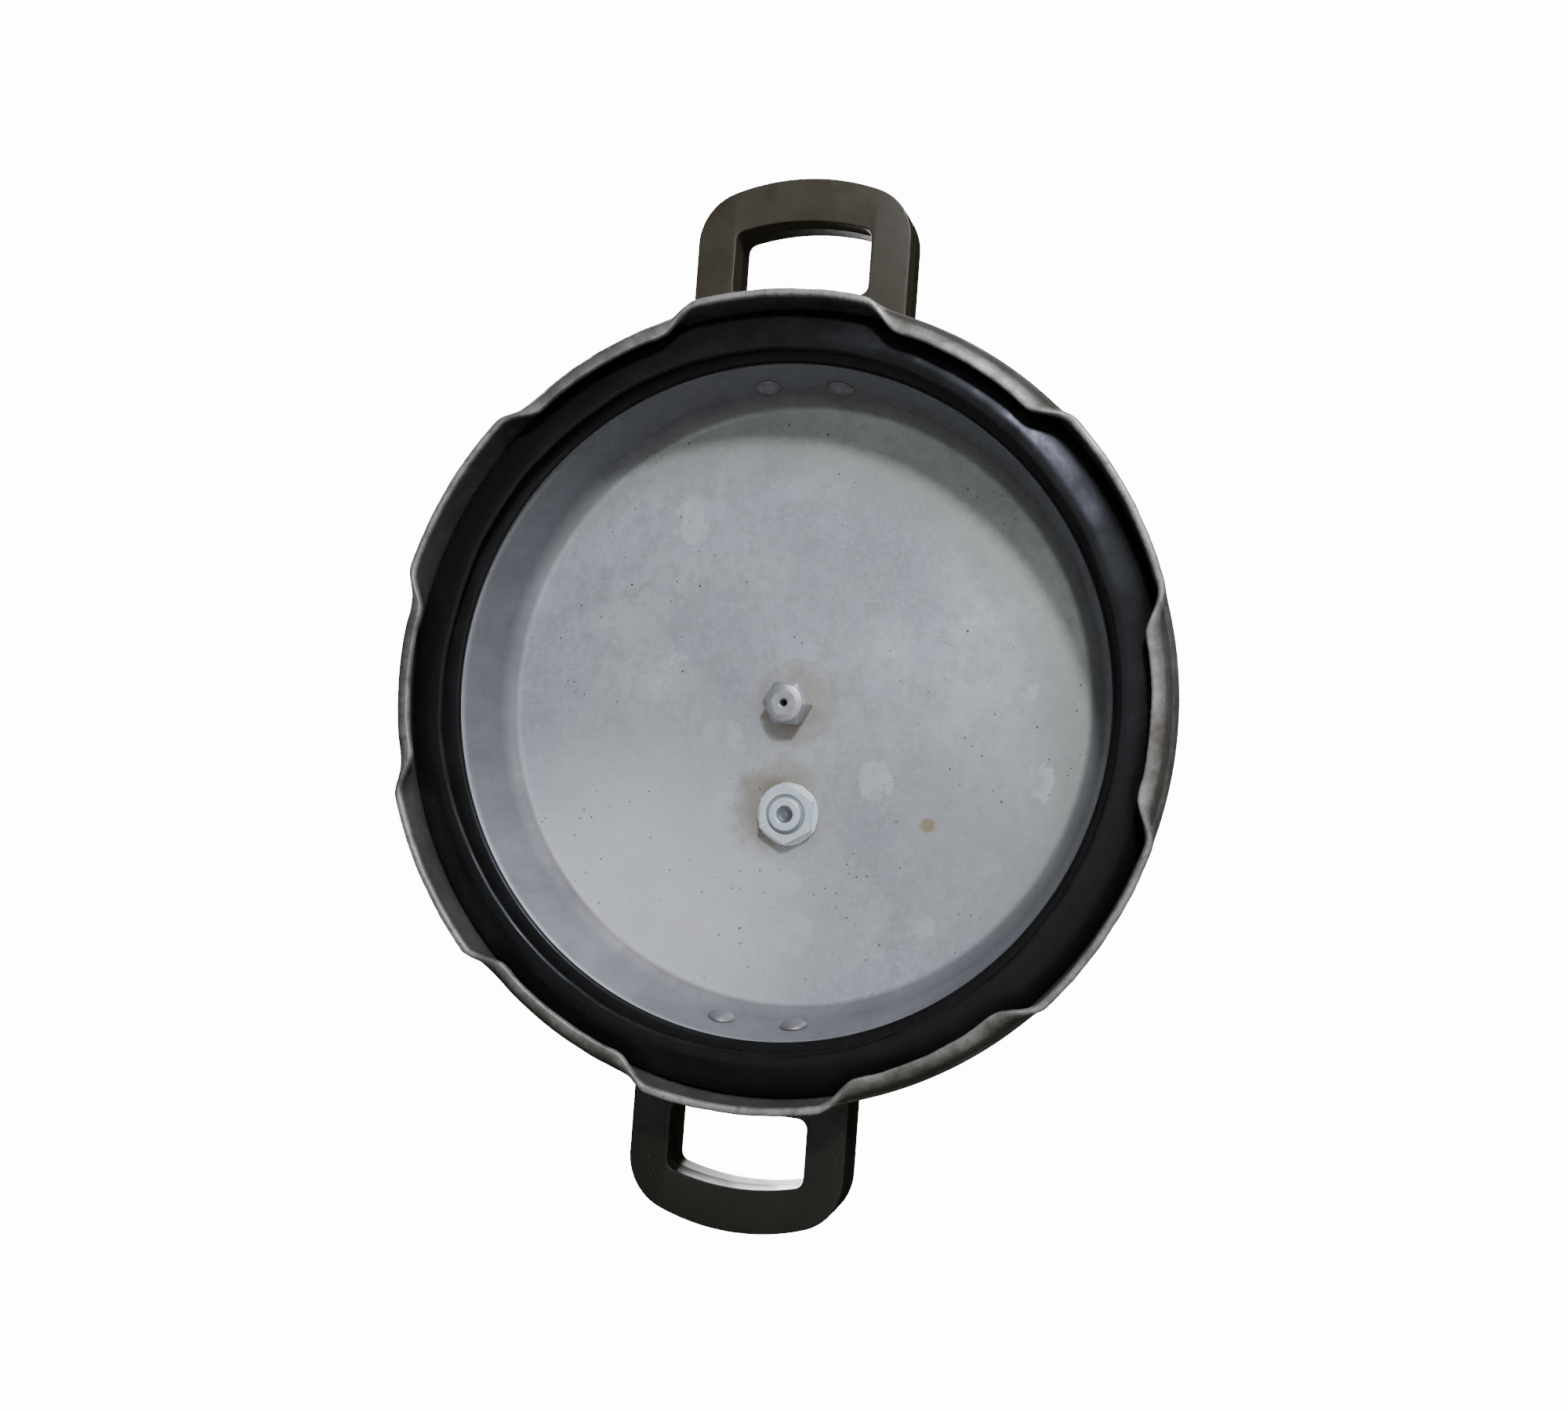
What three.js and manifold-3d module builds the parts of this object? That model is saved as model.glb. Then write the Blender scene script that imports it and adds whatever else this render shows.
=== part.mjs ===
// Lid of a large stovetop pressure cooker: a pressed aluminium lid with bayonet lugs, a rubber
// sealing ring, a vent with its weight, a safety plug and two side handles.
//
// Millimetres, +Z up. The lid stands on its rim: z = 0 is the rim plane, the origin is the
// centre of the rim, and X runs through the two handles.

import * as THREE from "three";
import { mergeVertices } from "three/addons/utils/BufferGeometryUtils.js";
import Module from "manifold-3d";

const wasm = await Module();
wasm.setup();

const GAP = 0.3; // left between two solids that touch on the real lid

// Pressed lid
const SHEET = 3.2;
const RIM_RADIUS = 160;
const SHOULDER_Z = 19.6; // lower face of the shoulder, where the sealing ring sits
const SHOULDER_BEND = 4; // radius of the bend between the shoulder and the raised wall
const PLATE_Z = 51.5; // lower face of the flat plate
const PLATE_TOP = PLATE_Z + SHEET;
const WALL_FOOT_RADIUS = 135.1; // inside of the raised wall, at the shoulder
const WALL_SLOPE = 0.169; // the raised wall leans in by this much per millimetre of height
const PLATE_FILLET = 8; // inner radius between the raised wall and the plate

// Bayonet rim: six lugs curled inward, six straight arcs between them
const LUG_COUNT = 6;
const LUG_PHASE_DEG = -0.9; // middle of the first straight arc, from the handle axis
const LUG_INNER_RADIUS = 150.6;
const LUG_CURL_WIDTH = 8.4; // the curl is a quarter of an ellipse, this wide
const LUG_CURL_HEIGHT = 15; // and this high
const RIM_FLARE = 1; // how far the straight arcs flare out
const STEP_START_DEG = 12.4; // from the middle of a straight arc to where the curl begins
const STEP_END_DEG = 18.6; // and to where it is complete

// Vent, through the middle of the plate
const VENT_HEX = 17;
const VENT_HEAD_HEIGHT = 10.7;
const VENT_SHANK_RADIUS = 6;
const VENT_BORE_RADIUS = 1.5;
const VENT_TUBE_RADIUS = 5;
const VENT_TOP = 75.5;
const VENT_NUT_HEX = 19;
const VENT_NUT_HEIGHT = 6.5;
const VENT_WASHER_THICKNESS = 1.4;

// Weight that sits on the vent tube and may spin and jump on it
const WEIGHT_RADIUS = 12.5;
const WEIGHT_BOTTOM = 66;
const WEIGHT_TOP = 87;
const WEIGHT_BORE_RADIUS = 5.6;
const WEIGHT_BORE_TOP = 79.7;
const NEEDLE_RADIUS = 3;
const NEEDLE_CLEARANCE = 0.05; // running clearance between the needle and the weight
const CAP_RADIUS = 14.5;
const CAP_HEIGHT = 14;

// Safety plug, beside the vent towards the rear handle
const PLUG_X = -46.1;
const PLUG_Y = 2.8;
const PLUG_HEX = 22;
const PLUG_HEX_HEIGHT = 3.6;
const PLUG_WASHER_THICKNESS = 1;
const PLUG_BOSS_RADIUS = 7;
const PLUG_BOSS_HEIGHT = 1.5;
const PLUG_SHANK_RADIUS = 6.5;
const PLUG_SHANK_TOP = 63;
const PLUG_NUT_HEIGHT = 6.5;
const ALLOY_RADIUS = 3.2;

// Handles
const HANDLE_BOTTOM = 20.4;
const HANDLE_THICKNESS = 19;
const HANDLE_TOP = HANDLE_BOTTOM + HANDLE_THICKNESS;
const HANDLE_REACH = 212;
const HANDLE_HALF_WIDTH = 44.8;
const HANDLE_END_RADIUS = 90; // curvature of the outer edge
const HANDLE_CORNER_RADIUS = 22;
const HANDLE_ROOT_RADIUS = 141.2; // the root follows the raised wall
const HANDLE_EDGE = 0.8; // rounding of all the edges
const RELIEF_Z = 23.3; // the underside of the root is cut back to this height
const RELIEF_RADIUS = 161.5; // out to this radius, so that it clears the lid's shoulder
const OPENING_INNER = 164;
const OPENING_OUTER = 194.3;
const OPENING_HALF_WIDTH = 28.3;
const OPENING_END_RADIUS = 95;
const OPENING_CORNER_RADIUS = 4;

// Handle brackets, rivets and screws
const BRACKET_SHEET = 2;
const BRACKET_HALF_ANGLE_DEG = 10.2;
const BRACKET_TAB_BOTTOM = 29.3;
const BRACKET_TAB_REACH = 158;
const BRACKET_TOP = 44.5;
const RIVET_SPACING = 31;
const RIVET_Z = 38;
const RIVET_SHANK_RADIUS = 2.4;
const RIVET_HEAD_RADIUS = 5.8;
const RIVET_HEAD_HEIGHT = 2.2;
const RIVET_TAIL_RADIUS = 4.2;
const RIVET_TAIL_HEIGHT = 2;
const SCREW_X = 148.5;
const SCREW_SPACING = 31;
const SCREW_RADIUS = 2.5;
const SCREW_HOLE_RADIUS = 2.8;
const SCREW_HEAD_RADIUS = 4.6;
const SCREW_HEAD_HEIGHT = 3;
const SCREW_NUT_HEX = 8;
const SCREW_NUT_HEIGHT = 4;

const SMALL_SEGMENTS = 18;
const RING_SEGMENTS = 60;

// ---------------------------------------------------------------- materials

function material(color, roughness, metalness) {
  return new THREE.MeshStandardMaterial({ color, roughness, metalness });
}

const aluminium = () => material(0x9a9da3, 0.5, 1);
const machinedAluminium = () => material(0xb4b6b8, 0.4, 1);
const zincPlate = () => material(0xb9bcc2, 0.35, 1);
const steel = () => material(0xa4a5a8, 0.35, 1);
const rubber = () => material(0x16171a, 0.55, 0);
const phenolic = () => material(0x2a211d, 0.45, 0);
const fusibleAlloy = () => material(0x7d7f84, 0.55, 1);

// ---------------------------------------------------------------- geometry helpers

const radians = THREE.MathUtils.degToRad;

// Evenly spaced angles round a full turn.
function turn(segments, phase = 0) {
  return Array.from({ length: segments }, (_, i) => phase + (2 * Math.PI * i) / segments);
}

// Sweeps a profile of [radius, z] points round Z. The profile runs anticlockwise in the
// (radius, z) plane; it either closes on itself or starts and ends on the axis. An open list
// of angles makes a sector with flat ends.
function sweep(profileAt, angles, closed = true) {
  const positions = [];
  const rings = angles.map((angle) =>
    profileAt(angle).map(([r, z]) => [r * Math.cos(angle), r * Math.sin(angle), z]),
  );
  const same = (a, b) => Math.hypot(a[0] - b[0], a[1] - b[1], a[2] - b[2]) < 1e-9;
  const triangle = (a, b, c) => {
    if (!same(a, b) && !same(b, c) && !same(c, a)) positions.push(...a, ...b, ...c);
  };
  const ringCount = closed ? rings.length : rings.length - 1;
  for (let i = 0; i < ringCount; i++) {
    const here = rings[i];
    const next = rings[(i + 1) % rings.length];
    for (let j = 0; j < here.length; j++) {
      const k = (j + 1) % here.length;
      triangle(here[j], next[j], next[k]);
      triangle(here[j], next[k], here[k]);
    }
  }
  if (!closed) {
    const flat = profileAt(angles[0]).map(([r, z]) => new THREE.Vector2(r, z));
    const first = rings[0];
    const last = rings[rings.length - 1];
    for (const [a, b, c] of THREE.ShapeUtils.triangulateShape(flat, [])) {
      triangle(first[a], first[b], first[c]);
      triangle(last[c], last[b], last[a]);
    }
  }
  const geometry = new THREE.BufferGeometry();
  geometry.setAttribute("position", new THREE.Float32BufferAttribute(positions, 3));
  return tidy(geometry);
}

function revolve(profile, segments = SMALL_SEGMENTS, phase = 0) {
  return sweep(() => profile, turn(segments, phase));
}

// Joins equal vertices, so that the surface is closed, and renews the normals.
function tidy(geometry) {
  geometry.deleteAttribute("normal");
  geometry.deleteAttribute("uv");
  const merged = mergeVertices(geometry, 1e-4);
  merged.computeVertexNormals();
  return merged;
}

function cylinder(radius, bottom, top, segments = SMALL_SEGMENTS) {
  return revolve([[0, bottom], [radius, bottom], [radius, top], [0, top]], segments);
}

// Hexagonal prism; its corners point along X, or along Y when turned.
function hexPrism(acrossFlats, bottom, top, turned = false) {
  const corner = acrossFlats / Math.sqrt(3);
  const profile = [[0, bottom], [corner, bottom], [corner, top], [0, top]];
  return revolve(profile, 6, turned ? Math.PI / 6 : 0);
}

function move(geometry, x, y, z) {
  return geometry.translate(x, y, z);
}

function toSolid(geometry) {
  const clean = tidy(geometry.clone());
  return new wasm.Manifold(
    new wasm.Mesh({
      numProp: 3,
      vertProperties: new Float32Array(clean.attributes.position.array),
      triVerts: new Uint32Array(clean.index.array),
    }),
  );
}

function fromSolid(solid) {
  const mesh = solid.getMesh();
  const geometry = new THREE.BufferGeometry();
  geometry.setAttribute("position", new THREE.BufferAttribute(mesh.vertProperties.slice(), 3));
  geometry.setIndex(new THREE.BufferAttribute(mesh.triVerts.slice(), 1));
  geometry.computeVertexNormals();
  return geometry;
}

function cut(base, ...tools) {
  return fromSolid(tools.reduce((solid, tool) => solid.subtract(toSolid(tool)), toSolid(base)));
}

function join(base, ...others) {
  return fromSolid(others.reduce((solid, other) => solid.add(toSolid(other)), toSolid(base)));
}

function common(base, other) {
  return fromSolid(toSolid(base).intersect(toSolid(other)));
}

// Points of an arc in the (radius, z) or (x, y) plane, both ends included.
function arc(cx, cy, radius, fromDeg, toDeg, steps) {
  return Array.from({ length: steps + 1 }, (_, i) => {
    const angle = radians(fromDeg + ((toDeg - fromDeg) * i) / steps);
    return [cx + radius * Math.cos(angle), cy + radius * Math.sin(angle)];
  });
}

// ---------------------------------------------------------------- lid

const WALL_LEAN = Math.atan(WALL_SLOPE);
const WALL_LEAN_DEG = THREE.MathUtils.radToDeg(WALL_LEAN);

// Inner radius of the raised wall at height z.
function wallInner(z) {
  return WALL_FOOT_RADIUS - WALL_SLOPE * (z - SHOULDER_Z);
}

// Outer radius of the raised wall at height z.
function wallOuter(z) {
  return wallInner(z) + SHEET / Math.cos(WALL_LEAN);
}

// 1 on the straight arcs of the rim, 0 on the lugs, with a smooth step between them.
function straightness(angle) {
  const pitch = 360 / LUG_COUNT;
  const degrees = THREE.MathUtils.radToDeg(angle) - LUG_PHASE_DEG;
  const fromMiddle = Math.abs(degrees - pitch * Math.round(degrees / pitch));
  return 1 - THREE.MathUtils.smoothstep(fromMiddle, STEP_START_DEG, STEP_END_DEG);
}

// Lower end of the skirt where it is curled inward as a lug, from the inner side round to
// the outer side.
function lugEdge() {
  const curl = (thickness, fromDeg, toDeg, steps) =>
    arc(0, 0, 1, fromDeg, toDeg, steps).map(([x, y]) => [
      RIM_RADIUS - LUG_CURL_WIDTH + (LUG_CURL_WIDTH - thickness) * x,
      LUG_CURL_HEIGHT + (LUG_CURL_HEIGHT - thickness) * y,
    ]);
  return [
    ...curl(SHEET, 0, -90, 3),
    [LUG_INNER_RADIUS + 0.5, SHEET],
    [LUG_INNER_RADIUS, SHEET - 0.5],
    [LUG_INNER_RADIUS, 0.4],
    [LUG_INNER_RADIUS + 0.3, 0],
    ...curl(0, -90, 0, 4),
  ];
}

// The same points where the skirt runs straight down and flares a little.
function straightEdge() {
  const outer = RIM_RADIUS + RIM_FLARE;
  const inner = outer - SHEET;
  return [
    [inner - 0.95, LUG_CURL_HEIGHT],
    [inner - 0.6, 9.5],
    [inner - 0.3, 5],
    [inner - 0.05, 2.2],
    [inner + 0.05, 1.2],
    [inner + 0.3, 0.5],
    [inner + 0.7, 0.15],
    [inner + 1.1, 0],
    [outer - 1.1, 0],
    [outer - 0.3, 0.5],
    [outer, 1.6],
    [outer - 0.4, 8],
    [outer - 0.95, LUG_CURL_HEIGHT],
  ];
}

// Section of the pressed lid, from the centre of its lower face round to the centre of its
// upper face.
function lidSection(angle) {
  const weight = straightness(angle);
  const lug = lugEdge();
  const edge = straightEdge().map(([r, z], i) => [
    THREE.MathUtils.lerp(lug[i][0], r, weight),
    THREE.MathUtils.lerp(lug[i][1], z, weight),
  ]);
  const bendOut = PLATE_FILLET + SHEET;
  const filletZ = PLATE_Z - PLATE_FILLET;
  const filletR = wallInner(filletZ) - PLATE_FILLET / Math.cos(WALL_LEAN);
  const bendZ = SHOULDER_Z + SHOULDER_BEND;
  const bendR = wallInner(bendZ) + SHOULDER_BEND / Math.cos(WALL_LEAN);
  const bendIn = SHOULDER_BEND - SHEET;
  const skirtInner = RIM_RADIUS - SHEET;
  return [
    [0, PLATE_Z],
    ...arc(filletR, filletZ, PLATE_FILLET, 90, WALL_LEAN_DEG, 3),
    ...arc(bendR, bendZ, SHOULDER_BEND, 180 + WALL_LEAN_DEG, 270, 2),
    ...arc(skirtInner - 4, SHOULDER_Z - 4, 4, 90, 0, 2),
    ...edge,
    ...arc(RIM_RADIUS - 6, SHOULDER_Z + SHEET - 6, 6, 0, 90, 2),
    ...arc(bendR, bendZ, bendIn, 270, 180 + WALL_LEAN_DEG, 1),
    ...arc(filletR, filletZ, bendOut, WALL_LEAN_DEG, 90, 3),
    [0, PLATE_TOP],
  ];
}

// Angles of the lid's facets: fine across each step of the rim, coarser elsewhere.
function lidAngles() {
  const pitch = 360 / LUG_COUNT;
  const stepLength = STEP_END_DEG - STEP_START_DEG;
  const angles = [];
  for (let lug = 0; lug < LUG_COUNT; lug++) {
    const start = LUG_PHASE_DEG + lug * pitch;
    for (let i = 0; i <= 5; i++) angles.push(start + STEP_START_DEG * ((2 * i) / 5 - 1));
    for (let i = 1; i <= 3; i++) angles.push(start + STEP_START_DEG + (stepLength * i) / 3);
    const lugSpan = pitch - 2 * STEP_END_DEG;
    for (let i = 1; i <= 4; i++) angles.push(start + STEP_END_DEG + (lugSpan * i) / 4);
    for (let i = 1; i <= 2; i++) angles.push(start + pitch - STEP_END_DEG + (stepLength * i) / 3);
  }
  return angles.map(radians);
}

// Places a geometry made along +Z so that it points out through the raised wall, its z = 0
// on the inner face of the wall at the rivets' height.
function throughWall(geometry, side, heading) {
  const angle = heading + side * Math.asin(RIVET_SPACING / 2 / wallInner(RIVET_Z));
  const outward = new THREE.Vector3(
    Math.cos(WALL_LEAN) * Math.cos(angle),
    Math.cos(WALL_LEAN) * Math.sin(angle),
    Math.sin(WALL_LEAN),
  );
  const rotation = new THREE.Quaternion().setFromUnitVectors(new THREE.Vector3(0, 0, 1), outward);
  const radius = wallInner(RIVET_Z);
  geometry.applyQuaternion(rotation);
  return move(geometry, radius * Math.cos(angle), radius * Math.sin(angle), RIVET_Z);
}

function lidShell() {
  const rivetHoles = [0, Math.PI].flatMap((heading) =>
    [-1, 1].map((side) =>
      throughWall(cylinder(RIVET_SHANK_RADIUS + GAP, -10, 14), side, heading),
    ),
  );
  return cut(
    sweep(lidSection, lidAngles()),
    cylinder(VENT_SHANK_RADIUS + GAP, PLATE_Z - 5, PLATE_TOP + 5),
    move(cylinder(PLUG_SHANK_RADIUS + GAP, PLATE_Z - 5, PLATE_TOP + 5), PLUG_X, PLUG_Y, 0),
    ...rivetHoles,
  );
}

// Sealing ring: a back that lies under the shoulder and a lip that reaches down and inward,
// with a groove between them that opens towards the axis.
function sealingGasket() {
  const back = SHOULDER_Z - GAP;
  const outer = RIM_RADIUS - SHEET - 0.5;
  return revolve(
    [
      [135.2, back - 1.4],
      [136.2, back - 2.6],
      [144, back - 3.8],
      [147.4, back - 5.4],
      [146.8, back - 7.2],
      [142.8, back - 9.2],
      [139, back - 10.6],
      [138.4, back - 11.3],
      [139.6, back - 12.2],
      [143, back - 12.3],
      [148, back - 11],
      [152, back - 9.5],
      [155, back - 7],
      [outer, back - 4.7],
      [outer, back - 3.6],
      [outer - 1.1, back - 1.3],
      [152.6, back],
      [135.8, back],
    ],
    RING_SEGMENTS,
  );
}

// ---------------------------------------------------------------- vent and weight

// Vent tube: a hexagonal head inside the lid, with a domed end, and a threaded shank that
// narrows to the tube the weight sits on. The bore runs right through.
function ventTube() {
  const top = PLATE_Z - GAP;
  const bottom = top - VENT_HEAD_HEIGHT;
  const corner = VENT_HEX / Math.sqrt(3);
  const dome = revolve([
    [0, bottom],
    [5.2, bottom],
    [7.65, bottom + 0.7],
    [corner + 0.1, bottom + 2.4],
    [corner + 0.1, top],
    [0, top],
  ]);
  const shankTop = PLATE_TOP + VENT_WASHER_THICKNESS + VENT_NUT_HEIGHT + 1.4;
  const stem = revolve([
    [0, bottom + 3],
    [VENT_SHANK_RADIUS, bottom + 3],
    [VENT_SHANK_RADIUS, shankTop - 0.8],
    [VENT_TUBE_RADIUS, shankTop],
    [VENT_TUBE_RADIUS, VENT_TOP - 1],
    [VENT_TUBE_RADIUS - 1, VENT_TOP],
    [0, VENT_TOP],
  ]);
  const bore = revolve([
    [0, bottom - 1],
    [VENT_BORE_RADIUS, bottom - 1],
    [VENT_BORE_RADIUS, VENT_TOP - 0.8],
    [VENT_BORE_RADIUS + 1.2, VENT_TOP + 0.4],
    [0, VENT_TOP + 0.4],
  ]);
  const slot = move(new THREE.BoxGeometry(3, 1.4, 4), corner - 2, 0, bottom + 5.2);
  return cut(join(common(hexPrism(VENT_HEX, bottom, top, true), dome), stem), bore, slot);
}

function flatWasher(inner, outer, bottom, thickness) {
  const top = bottom + thickness;
  return revolve([[inner, bottom], [outer, bottom], [outer, top], [inner, top]]);
}

// Hexagonal nut with chamfered corners, standing on z = bottom.
function hexNut(acrossFlats, boreRadius, bottom, height) {
  const corner = acrossFlats / Math.sqrt(3);
  const flat = acrossFlats / 2;
  const top = bottom + height;
  const chamfer = (corner - flat) * 0.6;
  const round = revolve([
    [0, bottom],
    [flat, bottom],
    [corner, bottom + chamfer],
    [corner, top - chamfer],
    [flat, top],
    [0, top],
  ]);
  const hex = hexPrism(acrossFlats, bottom, top);
  return cut(common(hex, round), cylinder(boreRadius, bottom - 1, top + 1));
}

// Valve needle: its cone closes the vent, its shank is the pivot the weight spins on.
function weightNeedle() {
  const tip = VENT_TOP - 3.15;
  const coneTop = tip + NEEDLE_RADIUS / Math.tan(radians(30));
  const collarTop = WEIGHT_BORE_TOP - GAP;
  return revolve([
    [0, tip],
    [NEEDLE_RADIUS, coneTop],
    [4.6, coneTop + 0.2],
    [4.6, collarTop],
    [NEEDLE_RADIUS, collarTop],
    [NEEDLE_RADIUS, collarTop + 2.2],
    [0, collarTop + 2.2],
  ]);
}

function weightBody() {
  const body = revolve([
    [WEIGHT_BORE_RADIUS, WEIGHT_BOTTOM],
    [WEIGHT_RADIUS - 1.5, WEIGHT_BOTTOM],
    [WEIGHT_RADIUS, WEIGHT_BOTTOM + 1.5],
    [WEIGHT_RADIUS, WEIGHT_BOTTOM + 9],
    [WEIGHT_RADIUS - 0.8, WEIGHT_BOTTOM + 9.8],
    [WEIGHT_RADIUS - 0.8, WEIGHT_BOTTOM + 11.2],
    [WEIGHT_RADIUS, WEIGHT_BOTTOM + 12],
    [WEIGHT_RADIUS, WEIGHT_TOP - 1],
    [WEIGHT_RADIUS - 1, WEIGHT_TOP],
    [0, WEIGHT_TOP],
    [0, WEIGHT_BORE_TOP],
    [WEIGHT_BORE_RADIUS, WEIGHT_BORE_TOP],
  ]);
  const pivot = NEEDLE_RADIUS + NEEDLE_CLEARANCE;
  const needleHole = cylinder(pivot, WEIGHT_BORE_TOP - 1, WEIGHT_BORE_TOP + 2.2, 32);
  const screwHole = cylinder(2.3, WEIGHT_TOP - 4, WEIGHT_TOP + 1);
  return cut(body, needleHole, screwHole);
}

function weightCap() {
  const bottom = WEIGHT_TOP + GAP;
  const top = bottom + CAP_HEIGHT;
  return revolve([
    [2.4, bottom],
    [CAP_RADIUS - 1, bottom],
    [CAP_RADIUS, bottom + 1],
    [CAP_RADIUS - 0.6, top - 5],
    [CAP_RADIUS - 2, top - 2],
    [CAP_RADIUS - 4.5, top - 0.4],
    [CAP_RADIUS - 7, top],
    [4.6, top],
    [4.6, top - 3],
    [2.4, top - 3],
  ]);
}

function weightScrew() {
  const seat = WEIGHT_TOP + GAP + CAP_HEIGHT - 3 + GAP;
  const screw = revolve([
    [0, WEIGHT_TOP - 3.7],
    [2, WEIGHT_TOP - 3.7],
    [2, seat],
    [4.2, seat],
    [4.2, seat + 1.4],
    [2.6, seat + 2.2],
    [0, seat + 2.4],
  ]);
  return cut(screw, move(new THREE.BoxGeometry(10, 1, 2), 0, 0, seat + 2.4));
}

// ---------------------------------------------------------------- safety plug

const PLUG_HEX_TOP = PLATE_Z - GAP - PLUG_WASHER_THICKNESS - GAP;
const PLUG_HEX_BOTTOM = PLUG_HEX_TOP - PLUG_HEX_HEIGHT;
const PLUG_FACE = PLUG_HEX_BOTTOM - PLUG_BOSS_HEIGHT;

function plugBody() {
  const corner = PLUG_HEX / Math.sqrt(3);
  const flat = PLUG_HEX / 2;
  const chamfer = revolve([
    [0, PLUG_HEX_BOTTOM],
    [flat - 0.2, PLUG_HEX_BOTTOM],
    [corner, PLUG_HEX_BOTTOM + 1],
    [corner, PLUG_HEX_TOP],
    [0, PLUG_HEX_TOP],
  ]);
  const head = common(hexPrism(PLUG_HEX, PLUG_HEX_BOTTOM, PLUG_HEX_TOP), chamfer);
  const stem = revolve([
    [0, PLUG_FACE],
    [PLUG_BOSS_RADIUS - 0.5, PLUG_FACE],
    [PLUG_BOSS_RADIUS, PLUG_FACE + 0.5],
    [PLUG_BOSS_RADIUS, PLUG_HEX_BOTTOM + 1],
    [PLUG_SHANK_RADIUS, PLUG_HEX_BOTTOM + 1.5],
    [PLUG_SHANK_RADIUS, PLUG_SHANK_TOP - 1],
    [PLUG_SHANK_RADIUS - 1, PLUG_SHANK_TOP],
    [0, PLUG_SHANK_TOP],
  ]);
  const groove = revolve([
    [PLUG_BOSS_RADIUS, PLUG_HEX_BOTTOM - 1],
    [PLUG_BOSS_RADIUS + 1.5, PLUG_HEX_BOTTOM - 1],
    [PLUG_BOSS_RADIUS + 1.5, PLUG_HEX_BOTTOM + 0.4],
    [PLUG_BOSS_RADIUS, PLUG_HEX_BOTTOM + 0.4],
  ]);
  const core = cylinder(ALLOY_RADIUS + 0.2, PLUG_FACE - 1, PLUG_SHANK_TOP + 1);
  return move(cut(join(head, stem), groove, core), PLUG_X, PLUG_Y, 0);
}

function plugAlloy() {
  const core = revolve([
    [0, PLUG_FACE + 0.3],
    [ALLOY_RADIUS, PLUG_FACE + 0.1],
    [ALLOY_RADIUS, PLUG_SHANK_TOP - 0.6],
    [0, PLUG_SHANK_TOP - 0.6],
  ]);
  return move(core, PLUG_X, PLUG_Y, 0);
}

function plugWasher() {
  const bottom = PLATE_Z - GAP - PLUG_WASHER_THICKNESS;
  const washer = flatWasher(PLUG_SHANK_RADIUS + GAP, 13.6, bottom, PLUG_WASHER_THICKNESS);
  return move(washer, PLUG_X, PLUG_Y, 0);
}

function plugNut() {
  const nut = hexNut(PLUG_HEX, PLUG_SHANK_RADIUS + GAP, PLATE_TOP + GAP, PLUG_NUT_HEIGHT);
  return move(nut, PLUG_X, PLUG_Y, 0);
}

// ---------------------------------------------------------------- handles

// Flat loop seen from above: x = outer and y = half width are its far edges, the far edge is
// an arc and its corners are rounded. inner is the straight or arched near edge.
function farEdge(outer, halfWidth, endRadius, cornerRadius, steps) {
  const centre = outer - endRadius;
  const cornerY = halfWidth - cornerRadius;
  const reach = endRadius - cornerRadius;
  const cornerX = centre + Math.sqrt(reach * reach - cornerY * cornerY);
  const meet = THREE.MathUtils.radToDeg(Math.atan2(cornerY, cornerX - centre));
  return [
    ...arc(cornerX, -cornerY, cornerRadius, -90, -meet, steps),
    ...arc(centre, 0, endRadius, -meet, meet, 8).slice(1, -1),
    ...arc(cornerX, cornerY, cornerRadius, meet, 90, steps),
  ];
}

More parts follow.
